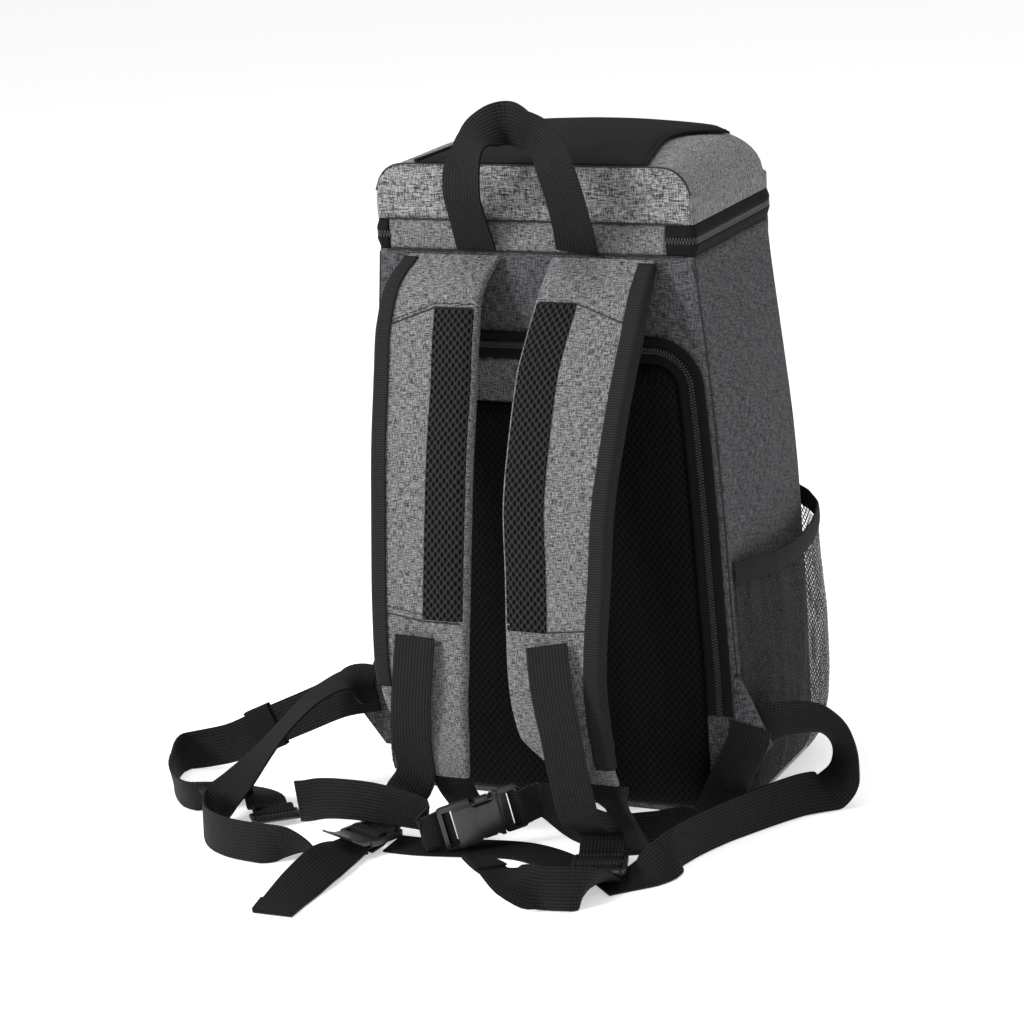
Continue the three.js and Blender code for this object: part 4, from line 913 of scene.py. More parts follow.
class BACKPACK_OT_zips(bpy.types.Operator):
    """Zip round the lid and the arch-shaped zip of the back"""

    bl_idname = "backpack.zips"
    bl_label = "Zips"

    def execute(self, context):
        run = rim_run(HINGE_ENDS[1] + FIT, HINGE_ENDS[0] - FIT)
        low, high = RIM_HEIGHT + FIT, LID_RIM - FIT
        middle = (low + high) / 2
        gap = 0.0016
        for word, bottom, top in (("lower", low, middle - gap), ("upper", middle + gap, high)):
            def place(i, j, word=word, bottom=bottom, top=top):
                p, out = run[i]
                share = j / 6
                lip = share if word == "lower" else 1 - share
                swell = mix(-0.0008, 0.0012, smooth(lip * 1.1)) * (1 - 0.7 * smooth((lip - 0.8) / 0.2))
                q = p + out * swell
                return Vector((q.x, q.y, mix(bottom, top, share)))

            tape = thicken(wrap(f"lid_tape_{word}", len(run) - 1, 6, place), 0.001, 0.0)
            dress(tape, material("zip_tape"), "zip_black", f"lid_zip_tape_{word}")
        flat = [(Vector((p.x, p.y, middle)) + Vector((*out, 0)) * 0.0007, Vector((*out, 0)))
                for p, out in run]
        zip_coils("lid_coils", flat, "lid_zip_teeth")
        slider = rounded("lid_zip_slider", "lid_slider", 0.0005)
        dress(slider, material("moulded_plastic"), "zip_black", "lid_zip_slider")
        self.back_zip()
        return {"FINISHED"}

    def back_zip(self):
        """Tape and coils of the arch."""
        outer = arch_outline(ARCH_INSET)
        inner = arch_outline(ARCH_INSET + TAPE_WIDTH)

        def place(i, j):
            p = outer[i].lerp(inner[i], j / 8)
            lift = 0.0009 + 0.0008 * abs(j / 4 - 1) ** 0.5
            return Vector((p.x, BACK_FACE - lift, p.y))

        tape = thicken(wrap("back_tape", len(outer) - 1, 8, place), 0.0007, 0.0)
        dress(tape, material("zip_tape"), "zip_black", "back_zip_tape")
        middle = arch_outline(ARCH_INSET + TAPE_WIDTH / 2)
        out = Vector((0, -1, 0))
        flat = [(Vector((p.x, BACK_FACE - 0.0020, p.y)), out) for p in middle]
        zip_coils("back_coils", flat, "back_zip_teeth")


ARCH_FOOT = 0.078
ARCH_TOP = 0.349
ARCH_INSET = 0.005
ARCH_RADIUS = 0.042
TAPE_WIDTH = 0.019


def arch_outline(inset):
    """Arch inside the side seams, from the right foot over the top to the left foot."""
    top = ARCH_TOP - inset + ARCH_INSET
    radius = max(ARCH_RADIUS - inset, 0.006)
    side_top = top - radius
    right = []
    for k in range(61):
        z = mix(ARCH_FOOT, side_top, k / 60)
        right.append(Vector((body_half_width(z) - inset, z)))
    shoulder = right[-1].x - radius
    for k in range(1, 17):
        angle = math.pi / 2 * k / 16
        right.append(Vector((shoulder + radius * math.cos(angle), side_top + radius * math.sin(angle))))
    for k in range(1, 21):
        right.append(Vector((mix(shoulder, 0, k / 20), top)))
    left = [Vector((-p.x, p.y)) for p in reversed(right[:-1])]
    return right + left


def rounded(node, name, edge):
    """Copy of a moulded CAD node with its edges rounded."""
    mesh = bmesh.new()
    mesh.from_mesh(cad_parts[node].data)
    mesh.transform(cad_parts[node].matrix_world)
    bmesh.ops.remove_doubles(mesh, verts=mesh.verts, dist=1e-5)
    bmesh.ops.dissolve_limit(
        mesh, angle_limit=math.radians(1), verts=mesh.verts, edges=mesh.edges,
    )
    sharp = [e for e in mesh.edges
             if len(e.link_faces) == 2 and e.calc_face_angle(0) > math.radians(35)]
    bmesh.ops.bevel(
        mesh, geom=sharp, offset=edge, affect="EDGES", segments=2, profile=0.5, material=-1,
        clamp_overlap=True,
    )
    return finish_mesh(name, mesh, 50)


PATCH_HALF = 0.055
PATCH_LOW = 0.2976
PANEL_INSET = ARCH_INSET + TAPE_WIDTH + FIT
PANEL_FOOT = 0.006
PANEL_TOP = 0.3296


class BACKPACK_OT_back(bpy.types.Operator):
    """Padded mesh panel inside the arch, with the grey patch above it"""

    bl_idname = "backpack.back"
    bl_label = "Back panel"

    def execute(self, context):
        foot, top = PANEL_FOOT, PANEL_TOP
        radius = ARCH_RADIUS - PANEL_INSET
        side_top = top - radius
        shoulder = body_half_width(side_top) - PANEL_INSET - radius

        def half(z):
            """Half the pad's width at a height."""
            if z <= side_top:
                return body_half_width(z) - PANEL_INSET
            return shoulder + math.sqrt(max(radius ** 2 - (z - side_top) ** 2, 0.0))

        columns = 64
        heights = [mix(foot, side_top, k / 76) for k in range(77)]
        heights += [side_top + radius * math.sin(math.pi / 2 * k / 8) for k in range(1, 9)]

        def place(i, j):
            z = heights[j]
            share = mix(-1, 1, i / columns)
            x = share * half(z)
            rim = min(half(z) - abs(x), z - foot, top - z)
            if abs(x) < PATCH_HALF + 0.02:
                over = max(abs(x) - PATCH_HALF, PATCH_LOW - z)
                rim = min(rim, max(over, 0.0))
            rise = math.sqrt(clamp(1 - (1 - clamp(rim / 0.011)) ** 2))
            soft = 1 - 0.10 * (0.5 + 0.5 * noise.noise(Vector((x * 14, 2.0, z * 14))))
            return Vector((x, BACK_FACE - 0.0006 - (sizes().panel_padding - 0.0004) * rise * soft, z))

        pad = wrap("back_pad", columns, len(heights) - 1, place)
        mesh = bmesh.new()
        mesh.from_mesh(pad.data)
        to_right, up = Vector((1, 0, 0)), Vector((0, 0, 1))
        for normal, value in ((to_right, -PATCH_HALF), (to_right, PATCH_HALF), (up, PATCH_LOW)):
            point = normal * value
            geometry = mesh.verts[:] + mesh.edges[:] + mesh.faces[:]
            bmesh.ops.bisect_plane(mesh, geom=geometry, plane_co=point, plane_no=normal, dist=1e-6)
        gone = [face for face in mesh.faces
                if abs(face.calc_center_median().x) < PATCH_HALF
                and face.calc_center_median().z > PATCH_LOW]
        bmesh.ops.delete(mesh, geom=gone, context="FACES")
        mesh.to_mesh(pad.data)
        mesh.free()
        thicken(pad, 0.0005, -1.0)
        # The pad's darkened mesh threads are painted shade
        dress(pad, material("back_spacer_mesh_painted_shade"), "air_mesh", "back_mesh_panel")

        def patch_place(i, j):
            x = mix(-PATCH_HALF, PATCH_HALF, i / 30)
            z = mix(PATCH_LOW, top, j / 12)
            edge = min(PATCH_HALF - abs(x), z - PATCH_LOW, top - z)
            return Vector((x, BACK_FACE - 0.0010 - 0.0008 * smooth(edge / 0.003), z))

        patch = thicken(wrap("patch_cloth", 30, 12, patch_place), 0.0008, -1.0)
        dress(patch, material("harness_heather"), "heather_light", "back_patch")
        return {"FINISHED"}


# Side pockets
POCKET_RUN = table("forward top swell", [
    (0.0, 0.0, 0.0), (0.1, -0.2, 0.45), (0.25, -0.7, 0.85), (0.45, -1.0, 1.0),
    (0.65, -0.75, 1.0), (0.8, 0.1, 0.9), (0.92, 0.8, 0.5), (1.0, 1.0, 0.0),
])
POCKET_RISE = table("rise swell", [
    (0.0, 0.0), (0.055, 0.35), (0.12, 0.6), (0.21, 0.8), (0.35, 0.95), (0.62, 1.0),
    (0.8, 0.95), (1.0, 0.85),
])
POCKET_PLACES = 8
POCKET_FOOT = 0.005
POCKET_HEIGHT = 0.190
POCKET_SAG = 0.007
POCKET_LIFT = 0.012
POCKET_SWELL = 0.013
BINDING_HEIGHT = 0.015
BINDING_THICKNESS = 0.0024


def coarse_run(z):
    """Side of the body at a height, from the back seam to past the front corner."""
    return bag_outline(z, 0.0, 4, 4)[4:4 + POCKET_PLACES + 1]


def pocket_shares():
    """How far forward each place of the run lies, as a share of its length."""
    run = coarse_run(0.095)
    lengths = [0.0]
    for a, b in zip(run, run[1:]):
        lengths.append(lengths[-1] + (b - a).length)
    return [length / lengths[-1] for length in lengths]


def wall_point(place, z, offset):
    """Point of the side wall at a place from the back seam to past the front corner."""
    run = coarse_run(z)
    k = min(int(place), POCKET_PLACES - 1)
    p = run[k].lerp(run[k + 1], place - k)
    angle = math.pi / 2 * clamp((place - 4) / 4)
    return Vector((p.x + offset * math.cos(angle), p.y + offset * math.sin(angle)))


def pocket_top(forward):
    top = read_table(POCKET_RUN, "forward", forward)["top"]
    return POCKET_HEIGHT + (POCKET_SAG if top < 0 else POCKET_LIFT) * top


def pocket_offset(forward, rise):
    """How far the net stands off the wall."""
    across = read_table(POCKET_RUN, "forward", forward)["swell"]
    up = read_table(POCKET_RISE, "rise", rise)["swell"]
    return 2 * FIT + POCKET_SWELL * across * up


class BACKPACK_OT_pockets(bpy.types.Operator):
    """Net pockets on both sides, gathered under their binding"""

    bl_idname = "backpack.pockets"
    bl_label = "Side pockets"

    def execute(self, context):
        shares = pocket_shares()
        columns, rows = 96, 30

        def share_at(i):
            """Place along the run, and how far forward it lies."""
            place = i / columns * POCKET_PLACES
            k = min(int(place), POCKET_PLACES - 1)
            return place, mix(shares[k], shares[k + 1], place - k)

        for side, word in ((-1, "left"), (1, "right")):
            def net_place(i, j, side=side):
                place, forward = share_at(i)
                rise = j / rows
                z = mix(POCKET_FOOT, pocket_top(forward) - BINDING_HEIGHT - FIT, rise)
                gather = 0.0008 * math.sin(forward * 62 + 2.6 * math.sin(forward * 17 + rise * 3))
                gather += 0.0006 * noise.noise(Vector((forward * 40, rise * 3, side)))
                gather *= smooth(forward / 0.06) * smooth((1 - forward) / 0.06)
                gather *= smooth(rise / 0.1) * (0.35 + 0.65 * rise)
                p = wall_point(place, z, pocket_offset(forward, rise) + 0.0008 + gather)
                return Vector((side * p.x, p.y, z))

            net = wrap(f"pocket_net_{word}", columns, rows, net_place, flip=side < 0)
            thicken(net, 0.0005, 0.0)
            dress(net, material("pocket_netting"), "pocket_net", f"side_pocket_{word}")

            def hem_place(i, j, side=side):
                place, forward = share_at(j)
                z = pocket_top(forward) - BINDING_HEIGHT * (1 - i / 8)
                swell = 0.0006 * math.sin(math.pi * i / 8)
                p = wall_point(place, z, pocket_offset(forward, 1) + BINDING_THICKNESS / 2 + swell)
                return Vector((side * p.x, p.y, z))

            hem = wrap(f"pocket_hem_{word}", 8, columns, hem_place, flip=side > 0)
            thicken(hem, 0.0014, 0.0, 0.0004)
            dress(hem, material("grosgrain"), "ribbed_binding", f"pocket_binding_{word}")
        return {"FINISHED"}


class BACKPACK_OT_tabs(bpy.types.Operator):
    """Folded fabric triangles in the side seams"""

    bl_idname = "backpack.tabs"
    bl_label = "Corner tabs"

    def execute(self, context):
        for word in ("left", "right"):
            tab = rounded(f"corner_tab_{word}", f"tab_{word}", 0.0007)
            # The tabs' darker threads are painted shade
            dress(tab, material("tab_heather_painted_shade"), "heather_dark", f"corner_tab_{word}")
        return {"FINISHED"}


# Shoulder straps, from the top seam down, as shares of the named sizes
STRAPS = {
    "left": table("drop middle width out thick", [
        (0.992, -0.428, 0.95, 0.012, 0.3), (0.943, -0.478, 0.98, 0.18, 0.8),
        (0.874, -0.478, 1.02, 0.325, 1.0), (0.795, -0.45, 1.02, 0.48, 1.0),
        (0.689, -0.428, 1.0, 0.65, 1.0), (0.575, -0.414, 0.98, 0.77, 1.0),
        (0.44, -0.407, 0.96, 0.875, 1.0), (0.321, -0.403, 0.92, 0.94, 1.0),
        (0.26, -0.39, 0.84, 0.965, 1.0), (0.21, -0.348, 0.7, 0.985, 0.95),
        (0.165, -0.285, 0.46, 1.0, 0.7), (0.135, -0.262, 0.36, 0.995, 0.45),
    ]),
    "right": table("drop middle width out thick", [
        (0.992, 0.388, 1.03, 0.012, 0.3), (0.938, 0.375, 1.06, 0.19, 0.8),
        (0.876, 0.357, 1.1, 0.32, 1.0), (0.817, 0.339, 1.12, 0.44, 1.0),
        (0.723, 0.325, 1.09, 0.6, 1.0), (0.607, 0.307, 1.05, 0.74, 1.0),
        (0.494, 0.314, 1.0, 0.83, 1.0), (0.385, 0.314, 0.95, 0.905, 1.0),
        (0.316, 0.318, 0.93, 0.94, 1.0), (0.267, 0.336, 0.92, 0.965, 1.0),
        (0.217, 0.371, 0.88, 0.985, 0.95), (0.178, 0.45, 0.66, 1.0, 0.7),
        (0.15, 0.535, 0.44, 1.0, 0.45),
    ]),
}
BINDING_WIDTH = 0.012
STRIPE_WIDTH = 0.027
PAD_EDGE = 0.005
STRIPE_ENDS = {"left": (1.5, 6.3), "right": (1.25, 6.85)}
BINDING_ENDS = {"left": 7.5, "right": 11}


def strap_run(rows, per_span):
    """Stations down the middle of a strap."""
    stations = []
    for row in rows:
        y = BACK_FACE - 3 * FIT - row["out"] * sizes().strap_standoff
        stations.append({
            "p": Vector((row["middle"] * HALF_WIDTH, y, row["drop"] * RIM_HEIGHT)),
            "across": Vector((1, 0, 0)),
            "width": row["width"] * sizes().strap_width,
            "thickness": max(row["thick"] * sizes().strap_thickness, 0.004),
        })
    return smooth_stations(stations, per_span, level=True)


def turned(side, profile):
    """The same section for the other hand."""
    return profile if side > 0 else [(-w, t) for w, t in reversed(profile)]


class BACKPACK_OT_straps(bpy.types.Operator):
    """Padded shoulder straps with binding, mesh stripe and stitched seams"""

    bl_idname = "backpack.straps"
    bl_label = "Shoulder straps"

    def execute(self, context):
        for side, word in ((-1, "left"), (1, "right")):
            rows = STRAPS[word]
            self.pad(side, word, rows)
            self.binding(side, word, rows)
            self.stripe(side, word, rows)
            self.seams(side, word, rows)
        return {"FINISHED"}

    def pad(self, side, word, rows):
        """Foam pad: a rounded inner edge, a flat outer face and a squarer bound edge."""
        def profile(station):
            w = station["width"] / 2
            t = station["thickness"] / 2
            e = min(t, PAD_EDGE)
            bound = w - 0.0012 - FIT
            top = []
            for k in range(15):
                share = k / 14
                x = mix(-w + e, bound - e * 0.5, share)
                top.append((x, t * (0.97 + 0.03 * math.sin(math.pi * share))))
            inner = [(-w + e * (1 - math.cos(a)), t * math.sin(a))
                     for a in (math.pi / 2 * k / 4 for k in range(-3, 4))]
            outer = [(bound - e * 0.15, t - e * 0.25), (bound, t - e * 0.6),
                     (bound, -t + e * 0.6), (bound - e * 0.15, -t + e * 0.25)]
            under = [(x, -y) for x, y in reversed(top)]
            return turned(side, inner + top + outer + under)

        pad = sweep(f"strap_pad_{word}", strap_run(rows, 8), profile)
        dress(pad, material("harness_heather"), "heather_light", f"shoulder_strap_{word}")

    def binding(self, side, word, rows):
        """Ribbed tape folded round the outer edge."""
        run = [s for s in strap_run(rows, 8) if 0.1 <= s["at"] <= BINDING_ENDS[word]]

        def profile(station):
            w = station["width"] / 2
            t = station["thickness"] / 2 + FIT + 0.0006
            edge = w - 0.0006
            start = w - BINDING_WIDTH
            top = [(mix(start, edge - 0.0025, k / 6), t) for k in range(7)]
            bend = [(edge - 0.0012, t - 0.0003), (edge, t - 0.0014), (edge, 0.0),
                    (edge, -t + 0.0014), (edge - 0.0012, -t + 0.0003)]
            under = [(x, -y) for x, y in reversed(top)]
            return turned(side, top + bend + under)

        binding = sweep(f"strap_edge_{word}", run, profile, closed=False)
        thicken(binding, 0.0010, 0.0)
        dress(binding, material("grosgrain"), "ribbed_binding", f"strap_binding_{word}")

    def stripe(self, side, word, rows):
        """Spacer mesh along the inner edge of the outer face."""
        first, last = STRIPE_ENDS[word]
        run = [s for s in strap_run(rows, 12) if first <= s["at"] <= last]

        def profile(station):
            w = station["width"] / 2
            t = station["thickness"] / 2
            e = min(t, PAD_EDGE)
            start = -w + e * 0.55
            out = []
            for k in range(13):
                share = k / 12
                x = mix(start, -w + e + 0.0006 + STRIPE_WIDTH, share)
                drop = e * 0.30 * (1 - smooth(share / 0.16))
                puff = 0.0007 * math.sin(math.pi * share)
                out.append((x, t + 0.0006 + puff - drop))
            return turned(side, out)

        stripe = sweep(f"strap_stripe_{word}", run, profile, closed=False)
        thicken(stripe, 0.0009, 0.0, 0.0003)
        dress(stripe, material("spacer_mesh"), "air_mesh", f"strap_mesh_{word}")

    def seams(self, side, word, rows):
        """Sewn lines: across the strap at both ends of the stripe, and down the stripe's edge."""
        first, last = STRIPE_ENDS[word]
        per_span = 12
        run = add_frames(strap_run(rows, per_span))

        def on_strap(at, across):
            """Point just over the strap's face, and the way that the face looks."""
            step = math.floor(at * per_span)
            station, ahead = run[step], run[step + 1]
            share = at * per_span - step
            t = station["thickness"] / 2 + 0.0003
            here = at_station(station, side * across, t)
            there = at_station(ahead, side * across, t)
            return here.lerp(there, share), station["face"]

        for name, start, lean in (("top", first, 0.75), ("bottom", last, -0.15)):
            w = run[round(start * per_span)]["width"] / 2
            inner, outer = -w + 0.004, w - BINDING_WIDTH
            for part, shift in (("seam", 0.0), ("stitch", -0.09)):
                points = []
                normals = []
                for k in range(41):
                    x = mix(inner, outer, k / 40)
                    past = max(0.0, (x + w - STRIPE_WIDTH - PAD_EDGE) / (outer - inner))
                    at = clamp(start - 0.02 + shift + past * lean, 0.3, len(rows) - 1.2)
                    point, face = on_strap(at, x)
                    points.append(point)
                    normals.append(face)
                thread = "seam_thread"
                if part == "seam":
                    line = tube(f"strap_seam_{name}_{word}", points, 0.0005, 6)
                else:
                    line = stitches(f"strap_stitch_{name}_{word}", points, normals)
                    thread = "pale_thread" if word == "right" else "seam_thread"
                dress(line, material(thread), "heather_light")


# Webs: routes as shares of half the width, half the depth and UP_UNIT. Turn and lift give the
# direction across the web, in degrees round the upright and above the level.
UP_UNIT = 0.030
ROUTE_COLUMNS = "across out up turn lift"
ROUTES = {
    "handle": table(ROUTE_COLUMNS, [
        (-0.293, 1.044, 13.567, 0, 180), (-0.293, 1.156, 14.267, -8, 181),
        (-0.264, 1.344, 15.067, -15, 184), (-0.207, 1.456, 15.8, -18, 186),
        (-0.165, 1.422, 16.314, -30, 165), (-0.104, 1.311, 16.534, -40, 125),
        (-0.039, 1.222, 16.608, -90, 100), (0.084, 1.267, 16.453, -40, 55),
        (0.207, 1.378, 16.176, -20, 25), (0.276, 1.444, 15.63, -8, 6),
        (0.293, 1.267, 14.333, -4, 0), (0.25, 1.044, 13.567, 0, 0),
    ]),
    "strap_web_left": table(ROUTE_COLUMNS, [
        (-0.407, 2.189, 5.2, 0, 0), (-0.414, 2.256, 4.333, 0, 0), (-0.429, 2.278, 3.5, 0, 0),
        (-0.443, 2.256, 2.6, 0, 0), (-0.457, 2.189, 1.733, -8, 0),
    ]),
    "strap_web_right": table(ROUTE_COLUMNS, [
        (0.3, 2.178, 5.233, 0, 0), (0.343, 2.289, 4.333, 0, 0), (0.407, 2.378, 3.333, 0, 0),
        (0.443, 2.378, 2.2, 0, 0), (0.493, 2.356, 1.2, 0, 0),
    ]),
    "adjuster_left": table(ROUTE_COLUMNS, [
        (-1.04, 1.093, 2.633, 0, 90), (-1.147, 1.247, 2.876, 115, 8), (-1.254, 1.38, 2.655, 115, 8),
        (-1.318, 1.502, 2.39, 115, 8), (-1.391, 1.658, 1.976, 115, 10),
        (-1.47, 1.836, 1.456, 115, 18), (-1.556, 2.058, 0.88, 115, 34),
        (-1.641, 2.258, 0.44, 110, 60), (-1.596, 2.469, 0.587, 0, 86), (-1.5, 2.689, 0.533, 0, 90),
        (-1.336, 2.844, 0.533, 0, 90), (-1.129, 2.878, 0.513, 0, 90),
        (-1.021, 2.822, 0.433, -8, 62), (-0.929, 2.7, 0.167, -25, 18),
        (-0.85, 2.567, 0.047, -38, 0), (-0.736, 2.367, 0.043, -30, 0),
    ]),
    "belt_left": table(ROUTE_COLUMNS, [
        (-1.04, 1.045, 2.433, 0, 90), (-1.257, 1.051, 2.183, 0, 90), (-1.5, 1.044, 1.667, 0, 90),
        (-1.729, 1.044, 1.167, 0, 90), (-1.929, 1.078, 0.733, 0, 90), (-2.176, 1.189, 0.46, 0, 90),
        (-2.086, 1.66, 0.52, 0, 90), (-1.924, 2.009, 0.5, -150, 74),
        (-1.804, 2.089, 0.45, -120, 60), (-1.722, 1.993, 0.37, -85, 45),
        (-1.685, 1.771, 0.28, -60, 25), (-1.636, 1.643, 0.2, -75, 10),
        (-1.53, 1.707, 0.18, -120, 8), (-1.42, 1.93, 0.2, -141, 4),
    ]),
    "belt_fold": table(ROUTE_COLUMNS, [
        (-1.2, 2.044, 0.567, 0, 84), (-1.114, 2.122, 0.733, 0, 90), (-1, 2.2, 0.933, 0, 90),
        (-0.829, 2.289, 1.1, 0, 90), (-0.657, 2.322, 1.133, 0, 86), (-0.5, 2.3, 1.033, -40, 76),
        (-0.371, 2.294, 0.867, -60, 67),
    ]),
    "belt_tail": table(ROUTE_COLUMNS, [
        (-0.6, 2.24, 0.043, 115, 0), (-0.443, 2.236, 0.043, 115, 0), (-0.257, 2.183, 0.043, 115, 0),
        (-0.064, 2.116, 0.043, 115, 0), (0.093, 2.1, 0.043, 110, 0), (0.286, 2.2, 0.043, 112, 0),
        (0.457, 2.394, 0.043, 115, 0),
    ]),
    "tail_left": table(ROUTE_COLUMNS, [
        (-0.72, 3.013, 0.4, 172, 34), (-0.74, 3.302, 0.267, 172, 26),
        (-0.754, 3.54, 0.133, 175, 10), (-0.753, 3.767, 0.05, 176, 0),
    ]),
    "adjuster_right": table(ROUTE_COLUMNS, [
        (1.039, 0.978, 2.333, 0, 90), (1.146, 0.867, 2.435, -35, 78),
        (1.216, 0.733, 2.402, -45, 68), (1.286, 0.6, 2.269, -45, 60),
        (1.365, 0.489, 1.938, -40, 36), (1.411, 0.422, 1.361, -35, 2),
        (1.401, 0.444, 0.749, -35, -32), (1.343, 0.556, 0.389, -35, -58),
        (1.237, 0.756, 0.333, -20, -74), (1.021, 1.422, 0.5, 0, -86), (0.936, 1.778, 0.5, 0, -86),
        (0.893, 2.044, 0.5, 0, -82), (0.871, 2.2, 0.333, -10, -48), (0.814, 2.322, 0.117, -24, -12),
        (0.721, 2.456, 0.043, -33, 0), (0.636, 2.6, 0.043, -33, 0),
    ]),
    "belt_right": table(ROUTE_COLUMNS, [
        (1.06, 1.045, 2.45, 0, -14), (1.043, 1.056, 2.067, 0, -14), (0.996, 1.139, 1.533, -10, -2),
        (0.919, 1.178, 0.8, -5, 5), (0.854, 1.344, 0.417, 0, 20), (0.786, 1.611, 0.4, 40, 55),
        (0.696, 1.831, 0.517, 60, 80), (0.525, 1.942, 0.52, 60, 86), (0.336, 1.883, 0.667, 60, 86),
    ]),
    "tail_right": table(ROUTE_COLUMNS, [
        (0.657, 2.963, 0.467, 50, 60), (0.571, 3.058, 0.533, 80, 80),
        (0.451, 3.094, 0.533, 115, 86), (0.353, 3.179, 0.7, 115, 32), (0.25, 3.155, 0.9, 115, 2),
        (0.139, 3.076, 1.033, 115, -6),
    ]),
    "tip_right": table(ROUTE_COLUMNS, [
        (0.586, 2.169, 1.993, -3, 0), (0.589, 2.164, 1.733, -10, 0), (0.618, 2.139, 1.4, -28, 0),
        (0.664, 2.1, 0.9, -28, 0), (0.721, 2.033, 0.367, -20, 0),
    ]),
    "tip_left": table(ROUTE_COLUMNS, [
        (-0.261, 2.153, 1.8, 0, 0), (-0.261, 2.117, 1.533, 0, 0), (-0.257, 2.044, 1.2, 0, 0),
        (-0.25, 1.933, 0.8, 0, 0),
    ]),
}
LOCK_LENGTH = 0.030
LOCK_BAR = 0.004
LOCK_HALF = 0.002
WEB_LIFT = 0.0008 + FIT
MIDDLE_BAR = -LOCK_LENGTH / 2 + LOCK_BAR + 0.007 + LOCK_BAR / 2
REAR_BAR = LOCK_LENGTH / 2 - LOCK_BAR / 2
LOCKS = {
    "left": {"across": -0.69, "out": 2.31, "up": 0.35, "turn": -22},
    "right": {"across": 0.586, "out": 2.41, "up": 0.35, "turn": 18},
}
OVER_REAR_BAR = [
    (REAR_BAR + 0.009, LOCK_HALF + WEB_LIFT + 0.009),
    (REAR_BAR + 0.0035, LOCK_HALF + WEB_LIFT + 0.0018),
    (REAR_BAR, LOCK_HALF + WEB_LIFT + 0.0002),
    (REAR_BAR - 0.0024, LOCK_HALF + WEB_LIFT + 0.0003),
    (REAR_BAR - 0.0035, LOCK_HALF + 0.0006),
    (REAR_BAR - 0.0037, 0),
    (REAR_BAR - 0.0038, -LOCK_HALF),
]
THROUGH_LOCK = [
    (-LOCK_LENGTH / 2 + 0.002, -LOCK_HALF - 0.0016 - WEB_LIFT - 0.0022),
    (MIDDLE_BAR - 0.004, -LOCK_HALF - 0.0016 - WEB_LIFT - 0.0008),
    (MIDDLE_BAR + 0.0005, -LOCK_HALF - WEB_LIFT - 0.0014),
    (MIDDLE_BAR + 0.0029, -LOCK_HALF - WEB_LIFT + 0.0002),
    (MIDDLE_BAR + 0.0034, -LOCK_HALF + 0.0005),
    (MIDDLE_BAR + 0.0037, LOCK_HALF * 0.6),
    (MIDDLE_BAR + 0.003, LOCK_HALF + 0.0007),
    (MIDDLE_BAR + 0.0016, LOCK_HALF + WEB_LIFT + 0.0002),
    (MIDDLE_BAR + 0.0002, LOCK_HALF + WEB_LIFT + 0.0003),
    (MIDDLE_BAR - 0.0016, LOCK_HALF + WEB_LIFT + 0.0002),
    (MIDDLE_BAR - 0.003, LOCK_HALF + 0.0007),
    (MIDDLE_BAR - 0.0037, LOCK_HALF * 0.6),
    (MIDDLE_BAR - 0.0039, -LOCK_HALF * 0.2),
    (MIDDLE_BAR - 0.005, -LOCK_HALF - 0.0002),
    (-LOCK_LENGTH / 2 + 0.0052, -LOCK_HALF - WEB_LIFT + 0.0001),
    (-LOCK_LENGTH / 2 + 0.002, -LOCK_HALF - WEB_LIFT - 0.0001),
    (-LOCK_LENGTH / 2 - 0.004, -LOCK_HALF - WEB_LIFT - 0.0003),
]
SLIDER_LENGTH = 0.018
SLIDER_TOP = 0.0012 + WEB_LIFT
THROUGH_SLIDER = [
    (-SLIDER_LENGTH / 2 - 0.003, SLIDER_TOP + 0.0004), (-0.0074, SLIDER_TOP + 0.0002),
    (-0.0052, SLIDER_TOP - 0.0004), (-0.004, 0.0006), (-0.0034, -0.001),
    (-0.0022, -SLIDER_TOP + 0.0002), (0, -SLIDER_TOP - 0.0002), (0.0022, -SLIDER_TOP + 0.0002),
    (0.0034, -0.001), (0.004, 0.0006), (0.0052, SLIDER_TOP - 0.0004),
    (0.0074, SLIDER_TOP + 0.0002), (SLIDER_LENGTH / 2 + 0.004, SLIDER_TOP + 0.0004),
]
BUCKLE_END = 0.030
BAR_TOP = 0.002 + WEB_LIFT
ROUND_BAR = [
    (BUCKLE_END + 0.014, BAR_TOP), (BUCKLE_END + 0.005, BAR_TOP - 0.0006),
    (BUCKLE_END + 0.0004, BAR_TOP + 0.0004), (BUCKLE_END - 0.0024, BAR_TOP + 0.0003),
    (BUCKLE_END - 0.0042, BAR_TOP - 0.0009), (BUCKLE_END - 0.0062, 0.0002),
    (BUCKLE_END - 0.0088, -0.0012),
]


def direction(turn, lift):
    turn, lift = math.radians(turn), math.radians(lift)
    level = math.cos(lift)
    return Vector((level * math.cos(turn), level * math.sin(turn), math.sin(lift)))


def share_point(across, out, up):
    """Place given in the shares of the tables."""
    return Vector((across * HALF_WIDTH, -out * HALF_DEPTH, up * UP_UNIT))


def route(name, first=0):
    """Stations of a web from its table, without the rows before the first."""
    rows = ROUTES[name][first:]
    return [{"p": share_point(row["across"], row["out"], row["up"]),
             "across": direction(row["turn"], row["lift"])} for row in rows]


def fitting(centre, along, across):
    """Place of a fitting whose length lies along one direction and its width along another."""
    x = along.normalized()
    y = (across - x * x.dot(across)).normalized()
    return Matrix.Translation(centre) @ Matrix((x, y, x.cross(y))).transposed().to_4x4()


def inside(matrix, rows):
    """Stations inside a fitting, from places along it and above its middle plane."""
    across = (matrix.to_3x3() @ Vector((0, 1, 0))).normalized()
    return [{"p": matrix @ Vector((along, 0, above)), "across": across.copy()} for along, above in rows]


def at_lock(word, rows):
    """Stations inside a ladder lock, from places along it and above its middle plane."""
    lock = LOCKS[word]
    turn = math.radians(lock["turn"])
    place = Matrix.Translation(share_point(lock["across"], lock["out"], lock["up"]))
    matrix = place @ Matrix.Rotation(turn, 4, "Z")
    across = (matrix.to_3x3() @ Vector((1, 0, 0))).normalized()
    return [{"p": matrix @ Vector((0, along, above)), "across": across.copy()} for along, above in rows]


